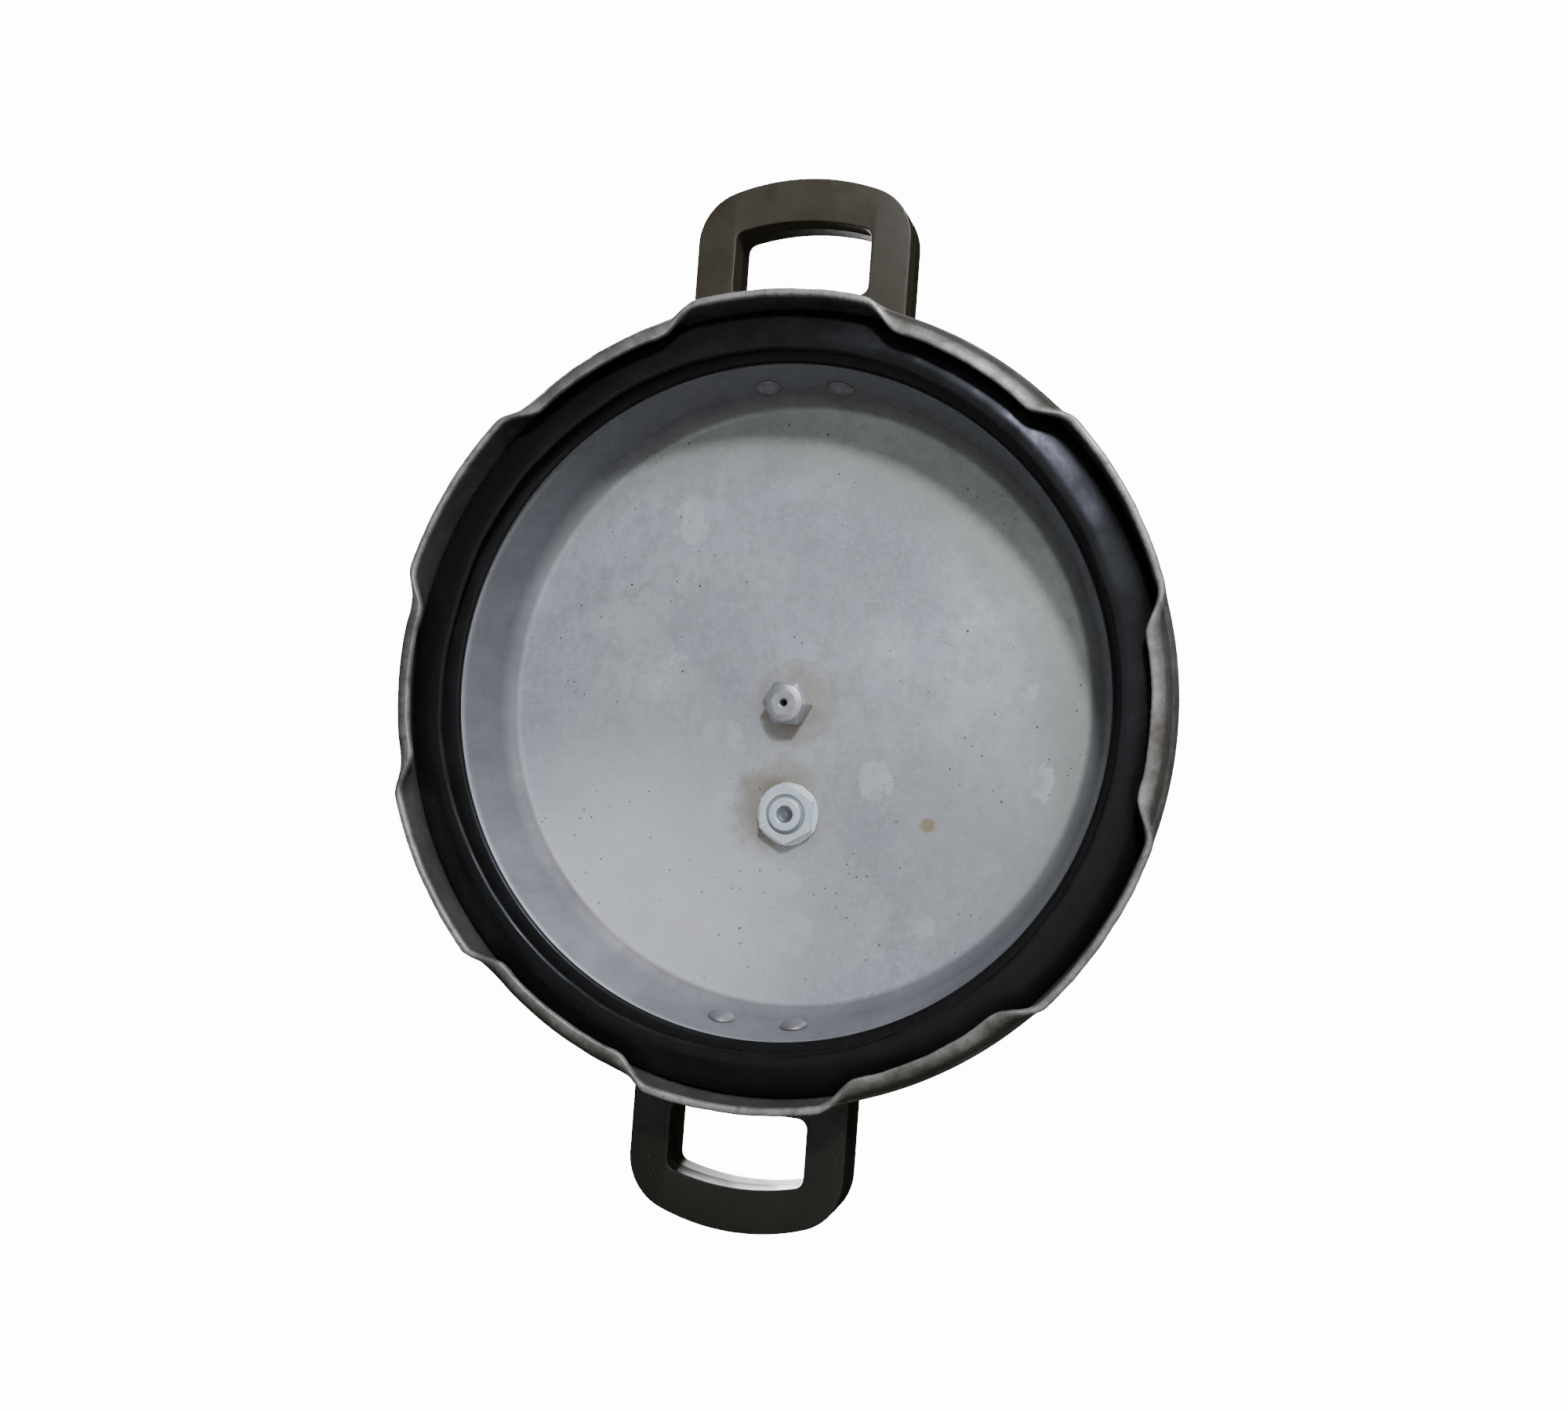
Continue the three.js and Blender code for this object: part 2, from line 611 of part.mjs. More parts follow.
// Loop handle for the +X side, with the relief under its root, its bracket slot, its screw
// holes and their nut pockets.
function handle() {
  const rootEndDeg = THREE.MathUtils.radToDeg(Math.asin(HANDLE_HALF_WIDTH / HANDLE_ROOT_RADIUS));
  const outline = [
    ...farEdge(HANDLE_REACH, HANDLE_HALF_WIDTH, HANDLE_END_RADIUS, HANDLE_CORNER_RADIUS, 6),
    ...arc(0, 0, HANDLE_ROOT_RADIUS, rootEndDeg, -rootEndDeg, 10),
  ];
  const shape = new THREE.Shape(outline.map(([x, y]) => new THREE.Vector2(x, y)));
  const inset = OPENING_HALF_WIDTH - OPENING_CORNER_RADIUS;
  const nearX = OPENING_INNER + OPENING_CORNER_RADIUS;
  const opening = [
    ...farEdge(OPENING_OUTER, OPENING_HALF_WIDTH, OPENING_END_RADIUS, OPENING_CORNER_RADIUS, 3),
    ...arc(nearX, inset, OPENING_CORNER_RADIUS, 90, 180, 3),
    ...arc(nearX, -inset, OPENING_CORNER_RADIUS, 180, 270, 3),
  ];
  shape.holes.push(new THREE.Path(opening.map(([x, y]) => new THREE.Vector2(x, y))));
  const loop = new THREE.ExtrudeGeometry(shape, {
    depth: HANDLE_THICKNESS - 2 * HANDLE_EDGE,
    bevelEnabled: true,
    bevelThickness: HANDLE_EDGE,
    bevelSize: HANDLE_EDGE,
    bevelOffset: -HANDLE_EDGE,
    bevelSegments: 2,
    curveSegments: 1,
  });
  move(loop, 0, 0, HANDLE_BOTTOM + HANDLE_EDGE);
  const slotSection = [
    [HANDLE_ROOT_RADIUS - 12, BRACKET_TAB_BOTTOM - GAP],
    [BRACKET_TAB_REACH + GAP, BRACKET_TAB_BOTTOM - GAP],
    [BRACKET_TAB_REACH + GAP, BRACKET_TAB_BOTTOM + BRACKET_SHEET + GAP],
    [HANDLE_ROOT_RADIUS - 12, BRACKET_TAB_BOTTOM + BRACKET_SHEET + GAP],
  ];
  const relief = cylinder(RELIEF_RADIUS, HANDLE_BOTTOM - 1, RELIEF_Z, 4 * RING_SEGMENTS);
  const tools = [relief, sector(slotSection, BRACKET_HALF_ANGLE_DEG + 0.3)];
  for (const side of [-1, 1]) {
    const y = (side * SCREW_SPACING) / 2;
    const pocketTop = RELIEF_Z + SCREW_NUT_HEIGHT + 2 * GAP;
    const hole = cylinder(SCREW_HOLE_RADIUS, HANDLE_BOTTOM - 1, HANDLE_TOP + 1);
    const pocket = hexPrism(SCREW_NUT_HEX + 2 * GAP, HANDLE_BOTTOM - 1, pocketTop);
    tools.push(move(hole, SCREW_X, y, 0), move(pocket, SCREW_X, y, 0));
  }
  return cut(loop, ...tools);
}

// Sweeps a section over an equal angle to both sides of +X.
function sector(section, halfAngleDeg) {
  const steps = 10;
  const angles = Array.from({ length: steps + 1 }, (_, i) =>
    radians(halfAngleDeg * ((2 * i) / steps - 1)),
  );
  return sweep(() => section, angles, false);
}

// Bracket for the +X side: a leg riveted to the raised wall and a tab that enters the handle.
function bracket() {
  const tabTop = BRACKET_TAB_BOTTOM + BRACKET_SHEET;
  const inner = (z) => wallOuter(z) + GAP;
  const outer = (z) => inner(z) + BRACKET_SHEET;
  const body = sector(
    [
      [inner(tabTop) + 0.7, BRACKET_TAB_BOTTOM],
      [BRACKET_TAB_REACH, BRACKET_TAB_BOTTOM],
      [BRACKET_TAB_REACH, tabTop],
      [outer(tabTop) + 1.4, tabTop],
      [outer(tabTop + 1.4), tabTop + 1.4],
      [outer(BRACKET_TOP), BRACKET_TOP],
      [inner(BRACKET_TOP), BRACKET_TOP],
      [inner(tabTop), tabTop - 0.8],
    ],
    BRACKET_HALF_ANGLE_DEG,
  );
  const tools = [];
  for (const side of [-1, 1]) {
    const y = (side * SCREW_SPACING) / 2;
    tools.push(throughWall(cylinder(RIVET_SHANK_RADIUS + GAP, -10, 14), side, 0));
    tools.push(move(cylinder(SCREW_HOLE_RADIUS, 20, 40), SCREW_X, y, 0));
  }
  return cut(body, ...tools);
}

// Rivet along +Z, z = 0 on the inner face of the wall: its domed head is inside the lid and
// its tail closes on the bracket.
function rivet() {
  const seat = -0.35;
  const tail = SHEET + GAP + BRACKET_SHEET + 0.35;
  return revolve([
    [0, seat - RIVET_HEAD_HEIGHT],
    [RIVET_HEAD_RADIUS * 0.45, seat - RIVET_HEAD_HEIGHT * 0.92],
    [RIVET_HEAD_RADIUS * 0.8, seat - RIVET_HEAD_HEIGHT * 0.6],
    [RIVET_HEAD_RADIUS, seat - 0.3],
    [RIVET_HEAD_RADIUS, seat],
    [RIVET_SHANK_RADIUS, seat],
    [RIVET_SHANK_RADIUS, tail],
    [RIVET_TAIL_RADIUS, tail],
    [RIVET_TAIL_RADIUS * 0.85, tail + RIVET_TAIL_HEIGHT * 0.55],
    [RIVET_TAIL_RADIUS * 0.45, tail + RIVET_TAIL_HEIGHT * 0.92],
    [0, tail + RIVET_TAIL_HEIGHT],
  ]);
}

// Slotted pan-head screw, down through the handle's root into its nut.
function handleScrew(side) {
  const seat = HANDLE_TOP + GAP;
  const top = seat + SCREW_HEAD_HEIGHT;
  const screw = revolve([
    [0, RELIEF_Z + 0.5],
    [SCREW_RADIUS, RELIEF_Z + 0.5],
    [SCREW_RADIUS, seat],
    [SCREW_HEAD_RADIUS, seat],
    [SCREW_HEAD_RADIUS, seat + 1.4],
    [SCREW_HEAD_RADIUS * 0.75, top - 0.4],
    [0, top],
  ]);
  const slotted = cut(screw, move(new THREE.BoxGeometry(12, 1.2, 2.8), 0, 0, top));
  return move(slotted, SCREW_X, (side * SCREW_SPACING) / 2, 0);
}

function handleNut(side) {
  const nut = hexNut(SCREW_NUT_HEX, SCREW_RADIUS + 0.2, RELIEF_Z + GAP, SCREW_NUT_HEIGHT);
  return move(nut, SCREW_X, (side * SCREW_SPACING) / 2, 0);
}

// ---------------------------------------------------------------- assembly

const lid = new THREE.Group();
lid.name = "pressure_cooker_lid";

function add(name, geometry, surface) {
  const mesh = new THREE.Mesh(geometry, surface);
  mesh.name = name;
  lid.add(mesh);
}

add("lid_shell", lidShell(), aluminium());
add("sealing_gasket", sealingGasket(), rubber());

add("vent_tube", ventTube(), machinedAluminium());
const ventSeat = PLATE_TOP + GAP;
add("vent_washer", flatWasher(VENT_SHANK_RADIUS + GAP, 11.5, ventSeat, VENT_WASHER_THICKNESS), steel());
const ventNutBottom = ventSeat + VENT_WASHER_THICKNESS + GAP;
const ventNut = hexNut(VENT_NUT_HEX, VENT_SHANK_RADIUS + GAP, ventNutBottom, VENT_NUT_HEIGHT);
add("vent_nut", ventNut, machinedAluminium());

add("weight_needle", weightNeedle(), steel());
add("weight_body", weightBody(), steel());
add("weight_cap", weightCap(), phenolic());
add("weight_screw", weightScrew(), steel());

add("plug_body", plugBody(), zincPlate());
add("plug_alloy", plugAlloy(), fusibleAlloy());
add("plug_washer", plugWasher(), zincPlate());
add("plug_nut", plugNut(), zincPlate());

for (const [end, heading] of [["front", 0], ["rear", Math.PI]]) {
  add(`${end}_handle`, handle().rotateZ(heading), phenolic());
  add(`${end}_bracket`, bracket().rotateZ(heading), steel());
  for (const [label, side] of [["right", -1], ["left", 1]]) {
    add(`${end}_rivet_${label}`, throughWall(rivet(), side, heading), machinedAluminium());
    add(`${end}_screw_${label}`, handleScrew(side).rotateZ(heading), steel());
    add(`${end}_screw_nut_${label}`, handleNut(side).rotateZ(heading), steel());
  }
}

export default lid;
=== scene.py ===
"""Looks of a pressure cooker lid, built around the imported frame: finer shapes, materials,
lights and camera. Shapes are worked out in millimetres and put in place in metres."""

import math

import bmesh
import bpy
import numpy as np
from mathutils import Matrix, Vector, noise
from mathutils.geometry import tessellate_polygon


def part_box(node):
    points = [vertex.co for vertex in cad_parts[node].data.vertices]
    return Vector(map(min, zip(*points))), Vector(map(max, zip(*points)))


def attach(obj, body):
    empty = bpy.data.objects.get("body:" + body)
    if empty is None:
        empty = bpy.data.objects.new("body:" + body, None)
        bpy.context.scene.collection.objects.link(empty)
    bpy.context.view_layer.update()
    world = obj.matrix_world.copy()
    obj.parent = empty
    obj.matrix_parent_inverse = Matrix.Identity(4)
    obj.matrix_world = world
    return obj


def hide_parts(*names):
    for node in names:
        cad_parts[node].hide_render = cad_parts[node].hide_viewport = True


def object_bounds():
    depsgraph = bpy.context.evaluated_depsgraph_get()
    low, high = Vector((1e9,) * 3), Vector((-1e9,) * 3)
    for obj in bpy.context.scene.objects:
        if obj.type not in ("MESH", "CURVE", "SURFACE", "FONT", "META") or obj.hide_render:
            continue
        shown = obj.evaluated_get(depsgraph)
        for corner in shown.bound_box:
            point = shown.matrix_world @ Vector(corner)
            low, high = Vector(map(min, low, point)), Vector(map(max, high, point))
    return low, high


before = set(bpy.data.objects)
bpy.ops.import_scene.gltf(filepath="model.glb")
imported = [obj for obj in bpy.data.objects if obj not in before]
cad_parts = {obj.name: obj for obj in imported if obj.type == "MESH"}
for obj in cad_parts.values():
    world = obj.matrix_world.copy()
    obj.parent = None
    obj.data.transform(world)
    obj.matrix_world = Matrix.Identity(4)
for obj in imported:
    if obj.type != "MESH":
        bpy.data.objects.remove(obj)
cad_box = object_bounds()

MM = 0.001
SIDES = (("right", -1), ("left", 1))
ENDS = (("front", 0.0), ("rear", math.pi))


def centre(node):
    """Middle of a CAD node's box, in millimetres."""
    low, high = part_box(node)
    return (low + high) / 2 / MM


def span(node):
    """(lowest corner, highest corner) of a CAD node, in millimetres."""
    low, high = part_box(node)
    return low / MM, high / MM


# ---------------------------------------------------------------- node materials


class Shade:
    """A material's node tree, with short ways to make the nodes used here."""

    def __init__(self, name, **values):
        self.material = bpy.data.materials.new(name)
        self.material.use_nodes = True
        self.tree = self.material.node_tree
        self.shader = self.tree.nodes["Principled BSDF"]
        for key, value in values.items():
            self.shader.inputs[key.replace("_", " ")].default_value = value
        self.place = self.node("ShaderNodeTexCoord").outputs["Object"]

    def node(self, kind, **settings):
        made = self.tree.nodes.new(kind)
        for key, value in settings.items():
            setattr(made, key, value)
        return made

    def set(self, socket, value):
        if isinstance(value, bpy.types.NodeSocket):
            self.tree.links.new(value, socket)
        else:
            socket.default_value = value

    def noise(self, per_metre, detail=4.0, roughness=0.55, at=None):
        made = self.node("ShaderNodeTexNoise")
        self.set(made.inputs["Vector"], at or self.place)
        made.inputs["Scale"].default_value = per_metre
        made.inputs["Detail"].default_value = detail
        made.inputs["Roughness"].default_value = roughness
        return made.outputs["Fac"]

    def spots(self, per_metre):
        """Distance to the nearest of a scatter of points, in cells."""
        made = self.node("ShaderNodeTexVoronoi")
        self.set(made.inputs["Vector"], self.place)
        made.inputs["Scale"].default_value = per_metre
        return made.outputs["Distance"]

    def stretched(self, x, y, z, turn=(0, 0, 0)):
        """Object coordinates scaled and turned, for scratches and brushing."""
        made = self.node("ShaderNodeMapping")
        self.set(made.inputs["Vector"], self.place)
        made.inputs["Scale"].default_value = (x, y, z)
        made.inputs["Rotation"].default_value = turn
        return made.outputs["Vector"]

    def away(self, x, y):
        """Distance in millimetres from the line along Z through (x, y)."""
        made = self.node("ShaderNodeVectorMath", operation="MULTIPLY")
        self.set(made.inputs[0], self.place)
        made.inputs[1].default_value = (1000, 1000, 0)
        far = self.node("ShaderNodeVectorMath", operation="DISTANCE")
        self.set(far.inputs[0], made.outputs["Vector"])
        far.inputs[1].default_value = (x, y, 0)
        return far.outputs["Value"]

    def height(self):
        """Z in millimetres."""
        split = self.node("ShaderNodeSeparateXYZ")
        self.set(split.inputs[0], self.place)
        return self.times(split.outputs["Z"], 1000.0)

    def math(self, operation, a, b=0.0):
        made = self.node("ShaderNodeMath", operation=operation)
        self.set(made.inputs[0], a)
        self.set(made.inputs[1], b)
        return made.outputs[0]

    def times(self, a, b):
        return self.math("MULTIPLY", a, b)

    def span(self, value, low, high, to_low=0.0, to_high=1.0):
        """Maps low..high to to_low..to_high, smoothly and held at both ends."""
        made = self.node("ShaderNodeMapRange", interpolation_type="SMOOTHSTEP")
        self.set(made.inputs["Value"], value)
        for key, number in (("From Min", low), ("From Max", high), ("To Min", to_low), ("To Max", to_high)):
            made.inputs[key].default_value = number
        return made.outputs["Result"]

    def mix(self, amount, a, b):
        made = self.node("ShaderNodeMix", data_type="RGBA")
        self.set(made.inputs[0], amount)
        for socket, value in ((made.inputs[6], a), (made.inputs[7], b)):
            self.set(socket, value if isinstance(value, bpy.types.NodeSocket) else (*value, 1.0))
        return made.outputs[2]

    def ramp(self, value, *stops):
        made = self.node("ShaderNodeValToRGB")
        self.set(made.inputs["Fac"], value)
        points = made.color_ramp.elements
        while len(points) < len(stops):
            points.new(0.5)
        for point, (position, colour) in zip(points, stops):
            point.position = position
            point.color = (*colour, 1.0)
        return made.outputs["Color"]

    def bump(self, height, strength, depth_mm, under=None):
        made = self.node("ShaderNodeBump")
        self.set(made.inputs["Height"], height)
        made.inputs["Strength"].default_value = strength
        made.inputs["Distance"].default_value = depth_mm * MM
        if under is not None:
            self.set(made.inputs["Normal"], under)
        return made.outputs["Normal"]

    def finish(self, colour=None, roughness=None, normal=None, metallic=None):
        values = {"Base Color": colour, "Roughness": roughness, "Normal": normal, "Metallic": metallic}
        for key, value in values.items():
            if value is not None:
                self.set(self.shader.inputs[key], value)
        return self.material


VENT_FLATS = 17.0
VENT_NUT_FLATS = 19.0
PLUG_FLATS = 22.0
PLUG_AT = centre("plug_body")
PLUG_GROOVE = (7.0, 8.3)  # inner and outer radius of the groove in its lower face
PLUG_GROOVE_HEIGHT = 47.5

# Dried water marks on the plate: (x, y, radius) in millimetres, each group one ragged mark.
WATER_MARKS = (
    ((82, -49, 6.3), (72, -48, 5.0)),
    ((-46, -49, 9.0), (-52, -57, 5.3), (-55, -38, 6.5)),
    ((15, -54, 5.0), (3, -57, 7.0), (-6, -44, 5.0), (-15, -29, 7.0)),
    ((-75, 3, 7.5), (-94, 7, 9.5), (-71, -6, 4.2)),
    ((-42, -27, 2.9), (-21, -23, 2.9), (9, 100, 2.5), (-26, 106, 5.5), (-62, 90, 4.4)),
    ((-58, 53, 2.9), (-86, 62, 3.8), (40, 74, 5.5), (-97, -38, 6.0), (-30, 40, 7.0)),
)


def pressed_aluminium():
    """Old pressed sheet: matt and water-marked inside, dull grey and nicked at the rim."""
    s = Shade("pressed_aluminium")
    height = s.height()
    out = s.away(0, 0)
    cloud = s.noise(16, 5, 0.6)
    fine = s.noise(150, 6, 0.7)
    colour = s.ramp(cloud, (0.34, (0.41, 0.435, 0.50)), (0.5, (0.52, 0.55, 0.63)),
                    (0.66, (0.63, 0.66, 0.745)))
    colour = s.mix(s.span(fine, 0.42, 0.68, 0.0, 0.65), colour, (0.40, 0.415, 0.455))
    warm = s.times(s.span(s.noise(38, 5, 0.65), 0.5, 0.7, 0.0, 0.4), s.span(out, 110, 60))
    colour = s.mix(warm, colour, (0.56, 0.545, 0.52))
    pale = s.span(s.noise(430, 5, 0.75), 0.46, 0.7, 0.0, 0.35)
    colour = s.mix(pale, colour, (0.74, 0.77, 0.85))
    # painted light: a bright pool of light painted on the plate round (-96, -66)
    corner = s.span(s.away(-96, -66), 122, 12, 0.0, 0.9)
    colour = s.mix(corner, colour, (0.90, 0.92, 1.0))
    # painted shade: the plate is painted darker towards (-50, 110)
    far = s.span(s.away(-50, 110), 95, 20, 0.0, 0.6)
    colour = s.mix(far, colour, (0.42, 0.435, 0.47))

    # painted shade: a greenish darkening towards the plate's edge, strongest on the +X, +Y side where the
    # rim's shadow falls
    reach = s.math("ADD", s.away(-34, -22), s.times(s.noise(30, 4), 16.0))
    green_shade = s.span(reach, 128, 152, 0.0, 0.6)
    colour = s.mix(green_shade, colour, (0.33, 0.365, 0.32))

    # pale water marks with ragged edges
    ragged = s.times(s.math("SUBTRACT", s.noise(62, 7, 0.72), 0.5), 26.0)
    for group in WATER_MARKS:
        depth = 99.0
        for x, y, radius in group:
            depth = s.math("MINIMUM", depth, s.math("SUBTRACT", s.away(x, y), float(radius)))
        edge = s.math("ADD", depth, ragged)
        faded = s.span(s.noise(48, 5, 0.65), 0.38, 0.62, 0.08, 0.5)
        faded = s.times(s.span(edge, 0.7, -0.7), faded)
        colour = s.mix(faded, colour, (0.78, 0.795, 0.83))

    # brown residue round the vent and the plug, one rust-coloured spot, cooked-on specks
    plug = PLUG_AT
    spread = s.times(s.noise(85, 5, 0.7), 22.0)
    near_vent = s.span(s.math("SUBTRACT", s.away(0, 2), spread), 12, -3, 0.0, 0.8)
    near_plug = s.span(s.math("SUBTRACT", s.away(plug.x + 3, plug.y - 4), spread), 16, 0, 0.0, 0.85)
    colour = s.mix(near_vent, colour, (0.37, 0.33, 0.285))
    colour = s.mix(near_plug, colour, (0.36, 0.325, 0.27))
    ring = s.math("SUBTRACT", s.away(2, 3), s.times(s.noise(60, 3), 8.0))
    ring = s.times(s.span(ring, 9.5, 11.5), s.span(ring, 14, 12))
    colour = s.mix(s.times(ring, 0.35), colour, (0.42, 0.38, 0.34))
    shaded = s.span(s.away(plug.x + 9, plug.y - 7), 8, 2, 0.0, 0.55)
    colour = s.mix(shaded, colour, (0.22, 0.21, 0.14))
    spot = s.math("SUBTRACT", s.away(-46, 62), s.times(s.noise(260, 4, 0.7), 6.0))
    colour = s.mix(s.span(spot, 1.2, -1.0, 0.0, 0.75), colour, (0.34, 0.25, 0.12))
    scatter = s.span(s.noise(24, 3), 0.47, 0.56)
    speck = s.times(s.span(s.spots(210), 0.115, 0.06, 0.0, 0.85), scatter)
    colour = s.mix(speck, colour, (0.12, 0.105, 0.09))
    crumb = s.span(s.spots(74), 0.052, 0.03, 0.0, 0.9)
    crumb = s.times(crumb, s.span(s.noise(17, 3), 0.5, 0.56))
    colour = s.mix(crumb, colour, (0.10, 0.08, 0.065))

    # the raised wall and its fillet are rougher than the plate, and painted darker as shade inside the
    # hollow
    streak = s.noise(40, 5, 0.6, s.stretched(1, 1, 0.5))
    wall = s.times(s.span(height, 18, 22), s.span(out, 123.4, 126.4))
    dark_wall_shade = s.times(wall, s.span(streak, 0.3, 0.7, 0.78, 0.92))
    colour = s.mix(dark_wall_shade, colour, (0.215, 0.21, 0.235))

    # the skirt and the lugs are grey-brown, with worn edges and dark nicks
    skirt = s.times(s.span(height, 22, 16), s.span(out, 143, 147))
    grey = s.ramp(s.noise(55, 6, 0.7), (0.34, (0.15, 0.138, 0.125)), (0.5, (0.255, 0.243, 0.235)),
                  (0.66, (0.42, 0.405, 0.40)))
    colour = s.mix(skirt, colour, grey)
    # painted shade: the skirt's inner face, between the rim and the seal, is painted near-black
    inner = s.times(s.span(out, 154.5, 156.6), s.span(out, 158.3, 157.9))
    inner = s.times(inner, s.span(height, 1.0, 2.2, 0.0, 0.75))
    colour = s.mix(inner, colour, (0.085, 0.082, 0.08))
    edge = s.math("ADD", s.span(out, 151.6, 150.6), s.span(out, 157.6, 158.4))
    rim = s.times(s.span(height, 3.4, 1.2), s.math("MINIMUM", edge, 1.0))
    worn = s.times(rim, s.span(s.noise(110, 6, 0.75), 0.38, 0.62, 0.2, 0.8))
    colour = s.mix(worn, colour, (0.42, 0.415, 0.41))
    nick = s.times(rim, s.span(s.noise(300, 4, 0.65), 0.56, 0.68, 0.0, 0.7))
    colour = s.mix(nick, colour, (0.16, 0.15, 0.14))
    scuffed = s.times(s.span(s.away(158, 38), 9, 3), s.span(height, 9, 3))
    scuffed = s.times(scuffed, s.span(s.noise(190, 5, 0.7), 0.42, 0.6, 0.0, 0.8))
    colour = s.mix(scuffed, colour, (0.72, 0.71, 0.68))

    metallic = s.math("SUBTRACT", 0.62, s.times(skirt, 0.12))
    rough = s.span(s.noise(24, 5, 0.65), 0.3, 0.7, 0.38, 0.52)
    rough = s.math("ADD", rough, s.times(fine, 0.10))
    rough = s.math("ADD", rough, s.times(s.math("MAXIMUM", near_vent, near_plug), 0.2))
    rough = s.math("ADD", rough, s.times(wall, 0.22))

    scratches = s.noise(900, 2, 0.5, s.stretched(0.03, 1, 1, (0, 0, 0.5)))
    crossing = s.noise(800, 2, 0.5, s.stretched(1, 0.04, 1, (0, 0, -0.3)))
    normal = s.bump(s.noise(26, 4, 0.5), 0.5, 0.3)
    normal = s.bump(s.noise(1100, 3, 0.6), 0.35, 0.05, normal)
    normal = s.bump(s.math("ADD", scratches, crossing), 0.15, 0.06, normal)
    normal = s.bump(s.times(skirt, s.noise(330, 5, 0.7)), 0.5, 0.3, normal)
    return s.finish(colour, rough, normal, metallic)


def seal_rubber():
    """Black rubber, satin, with rubbed patches and dust."""
    s = Shade("seal_rubber", Specular_IOR_Level=0.27, Specular_Tint=(0.78, 0.82, 1.0, 1.0))
    dust = s.span(s.noise(55, 6, 0.7), 0.5, 0.75, 0.0, 0.4)
    colour = s.mix(dust, (0.0085, 0.0082, 0.0075), (0.020, 0.0195, 0.0185))
    fleck = s.times(s.span(s.spots(210), 0.08, 0.05, 0.0, 0.35), s.span(s.noise(30), 0.55, 0.62))
    colour = s.mix(fleck, colour, (0.07, 0.07, 0.07))
    rough = s.span(s.noise(38, 5, 0.65), 0.3, 0.7, 0.26, 0.48)
    normal = s.bump(s.noise(65, 4, 0.5), 0.5, 0.4)
    normal = s.bump(s.noise(700, 4, 0.65), 0.3, 0.06, normal)
    return s.finish(colour, rough, normal)


def moulded_phenolic():
    """Dark brown-black phenolic, rubbed grey on its faces."""
    s = Shade("moulded_phenolic", Specular_IOR_Level=0.5)
    cloud = s.noise(35, 6, 0.65)
    colour = s.ramp(cloud, (0.3, (0.012, 0.009, 0.005)), (0.6, (0.021, 0.0165, 0.010)),
                    (0.8, (0.030, 0.0245, 0.0165)))
    fine = s.noise(600, 4, 0.7)
    colour = s.mix(s.span(fine, 0.5, 0.8, 0.0, 0.5), colour, (0.046, 0.039, 0.029))
    # painted light and shade: the front handle is painted lighter and the rear one darker
    colour = s.mix(s.span(s.away(205, 0), 130, 60, 0.0, 0.6), colour, (0.047, 0.038, 0.024))
    colour = s.mix(s.span(s.away(-205, 0), 130, 60, 0.0, 0.7), colour, (0.0045, 0.0038, 0.0024))
    pit = s.times(s.span(s.spots(330), 0.12, 0.07, 0.0, 0.6), s.span(s.noise(60), 0.5, 0.58))
    colour = s.mix(pit, colour, (0.10, 0.095, 0.085))
    rough = s.span(s.noise(80, 5, 0.6), 0.3, 0.7, 0.38, 0.58)
    normal = s.bump(s.noise(26, 3, 0.5), 0.4, 0.35)
    normal = s.bump(s.noise(900, 4, 0.7), 0.35, 0.05, normal)
    normal = s.bump(s.times(pit, -1.0), 0.4, 0.15, normal)
    return s.finish(colour, rough, normal)


def metal(name, dark, light, rough_low, rough_high, grime=(0.10, 0.085, 0.07), dirty=0.35, metallic=1.0,
          groove=None):
    """Machined or plated metal with turning marks, uneven tarnish and grime. A groove, given as
    (inner radius, outer radius, height), gets painted shade: a dark ring round the plug's axis."""
    s = Shade(name, Metallic=metallic)
    colour = s.mix(s.span(s.noise(160, 5, 0.6), 0.3, 0.7), dark, light)
    if groove is not None:
        inner, outer, top = groove
        # painted shade: a dark ring painted in the plug's groove
        far = s.away(PLUG_AT.x, PLUG_AT.y)
        groove_shade = s.times(s.span(far, inner - 0.3, inner + 0.2), s.span(far, outer + 0.3, outer - 0.2))
        groove_shade = s.times(groove_shade, s.span(s.height(), top + 0.6, top, 0.0, 0.75))
        colour = s.mix(groove_shade, colour, (0.15, 0.19, 0.21))
    soiled = s.span(s.noise(240, 5, 0.7), 0.56, 0.72, 0.0, dirty)
    colour = s.mix(soiled, colour, grime)
    rough = s.span(s.noise(190, 4, 0.6), 0.3, 0.7, rough_low, rough_high)
    rough = s.math("ADD", rough, s.times(soiled, 0.4))
    normal = s.bump(s.noise(260, 3, 0.5), 0.3, 0.04)
    normal = s.bump(s.noise(2600, 2, 0.5, s.stretched(1, 1, 0.12)), 0.15, 0.015, normal)
    return s.finish(colour, rough, normal)


LID_SHEET = pressed_aluminium()
RUBBER = seal_rubber()
PHENOLIC = moulded_phenolic()
TURNED = metal("turned_aluminium", (0.46, 0.47, 0.50), (0.60, 0.61, 0.64), 0.38, 0.5,
               (0.20, 0.19, 0.17), 0.2, metallic=0.75)
RIVET = metal("rivet_aluminium", (0.24, 0.235, 0.25), (0.34, 0.335, 0.35), 0.42, 0.6,
              (0.16, 0.15, 0.14), 0.3, metallic=0.7)
STEEL = metal("steel", (0.46, 0.46, 0.47), (0.62, 0.62, 0.63), 0.24, 0.4)
ZINC = metal("zinc_plate", (0.74, 0.82, 0.93), (0.84, 0.91, 1.0), 0.34, 0.46, (0.30, 0.30, 0.31), 0.12,
             metallic=0.45, groove=(*PLUG_GROOVE, PLUG_GROOVE_HEIGHT))
ALLOY = metal("fusible_alloy", (0.20, 0.23, 0.27), (0.30, 0.33, 0.38), 0.4, 0.55)


# ---------------------------------------------------------------- mesh building


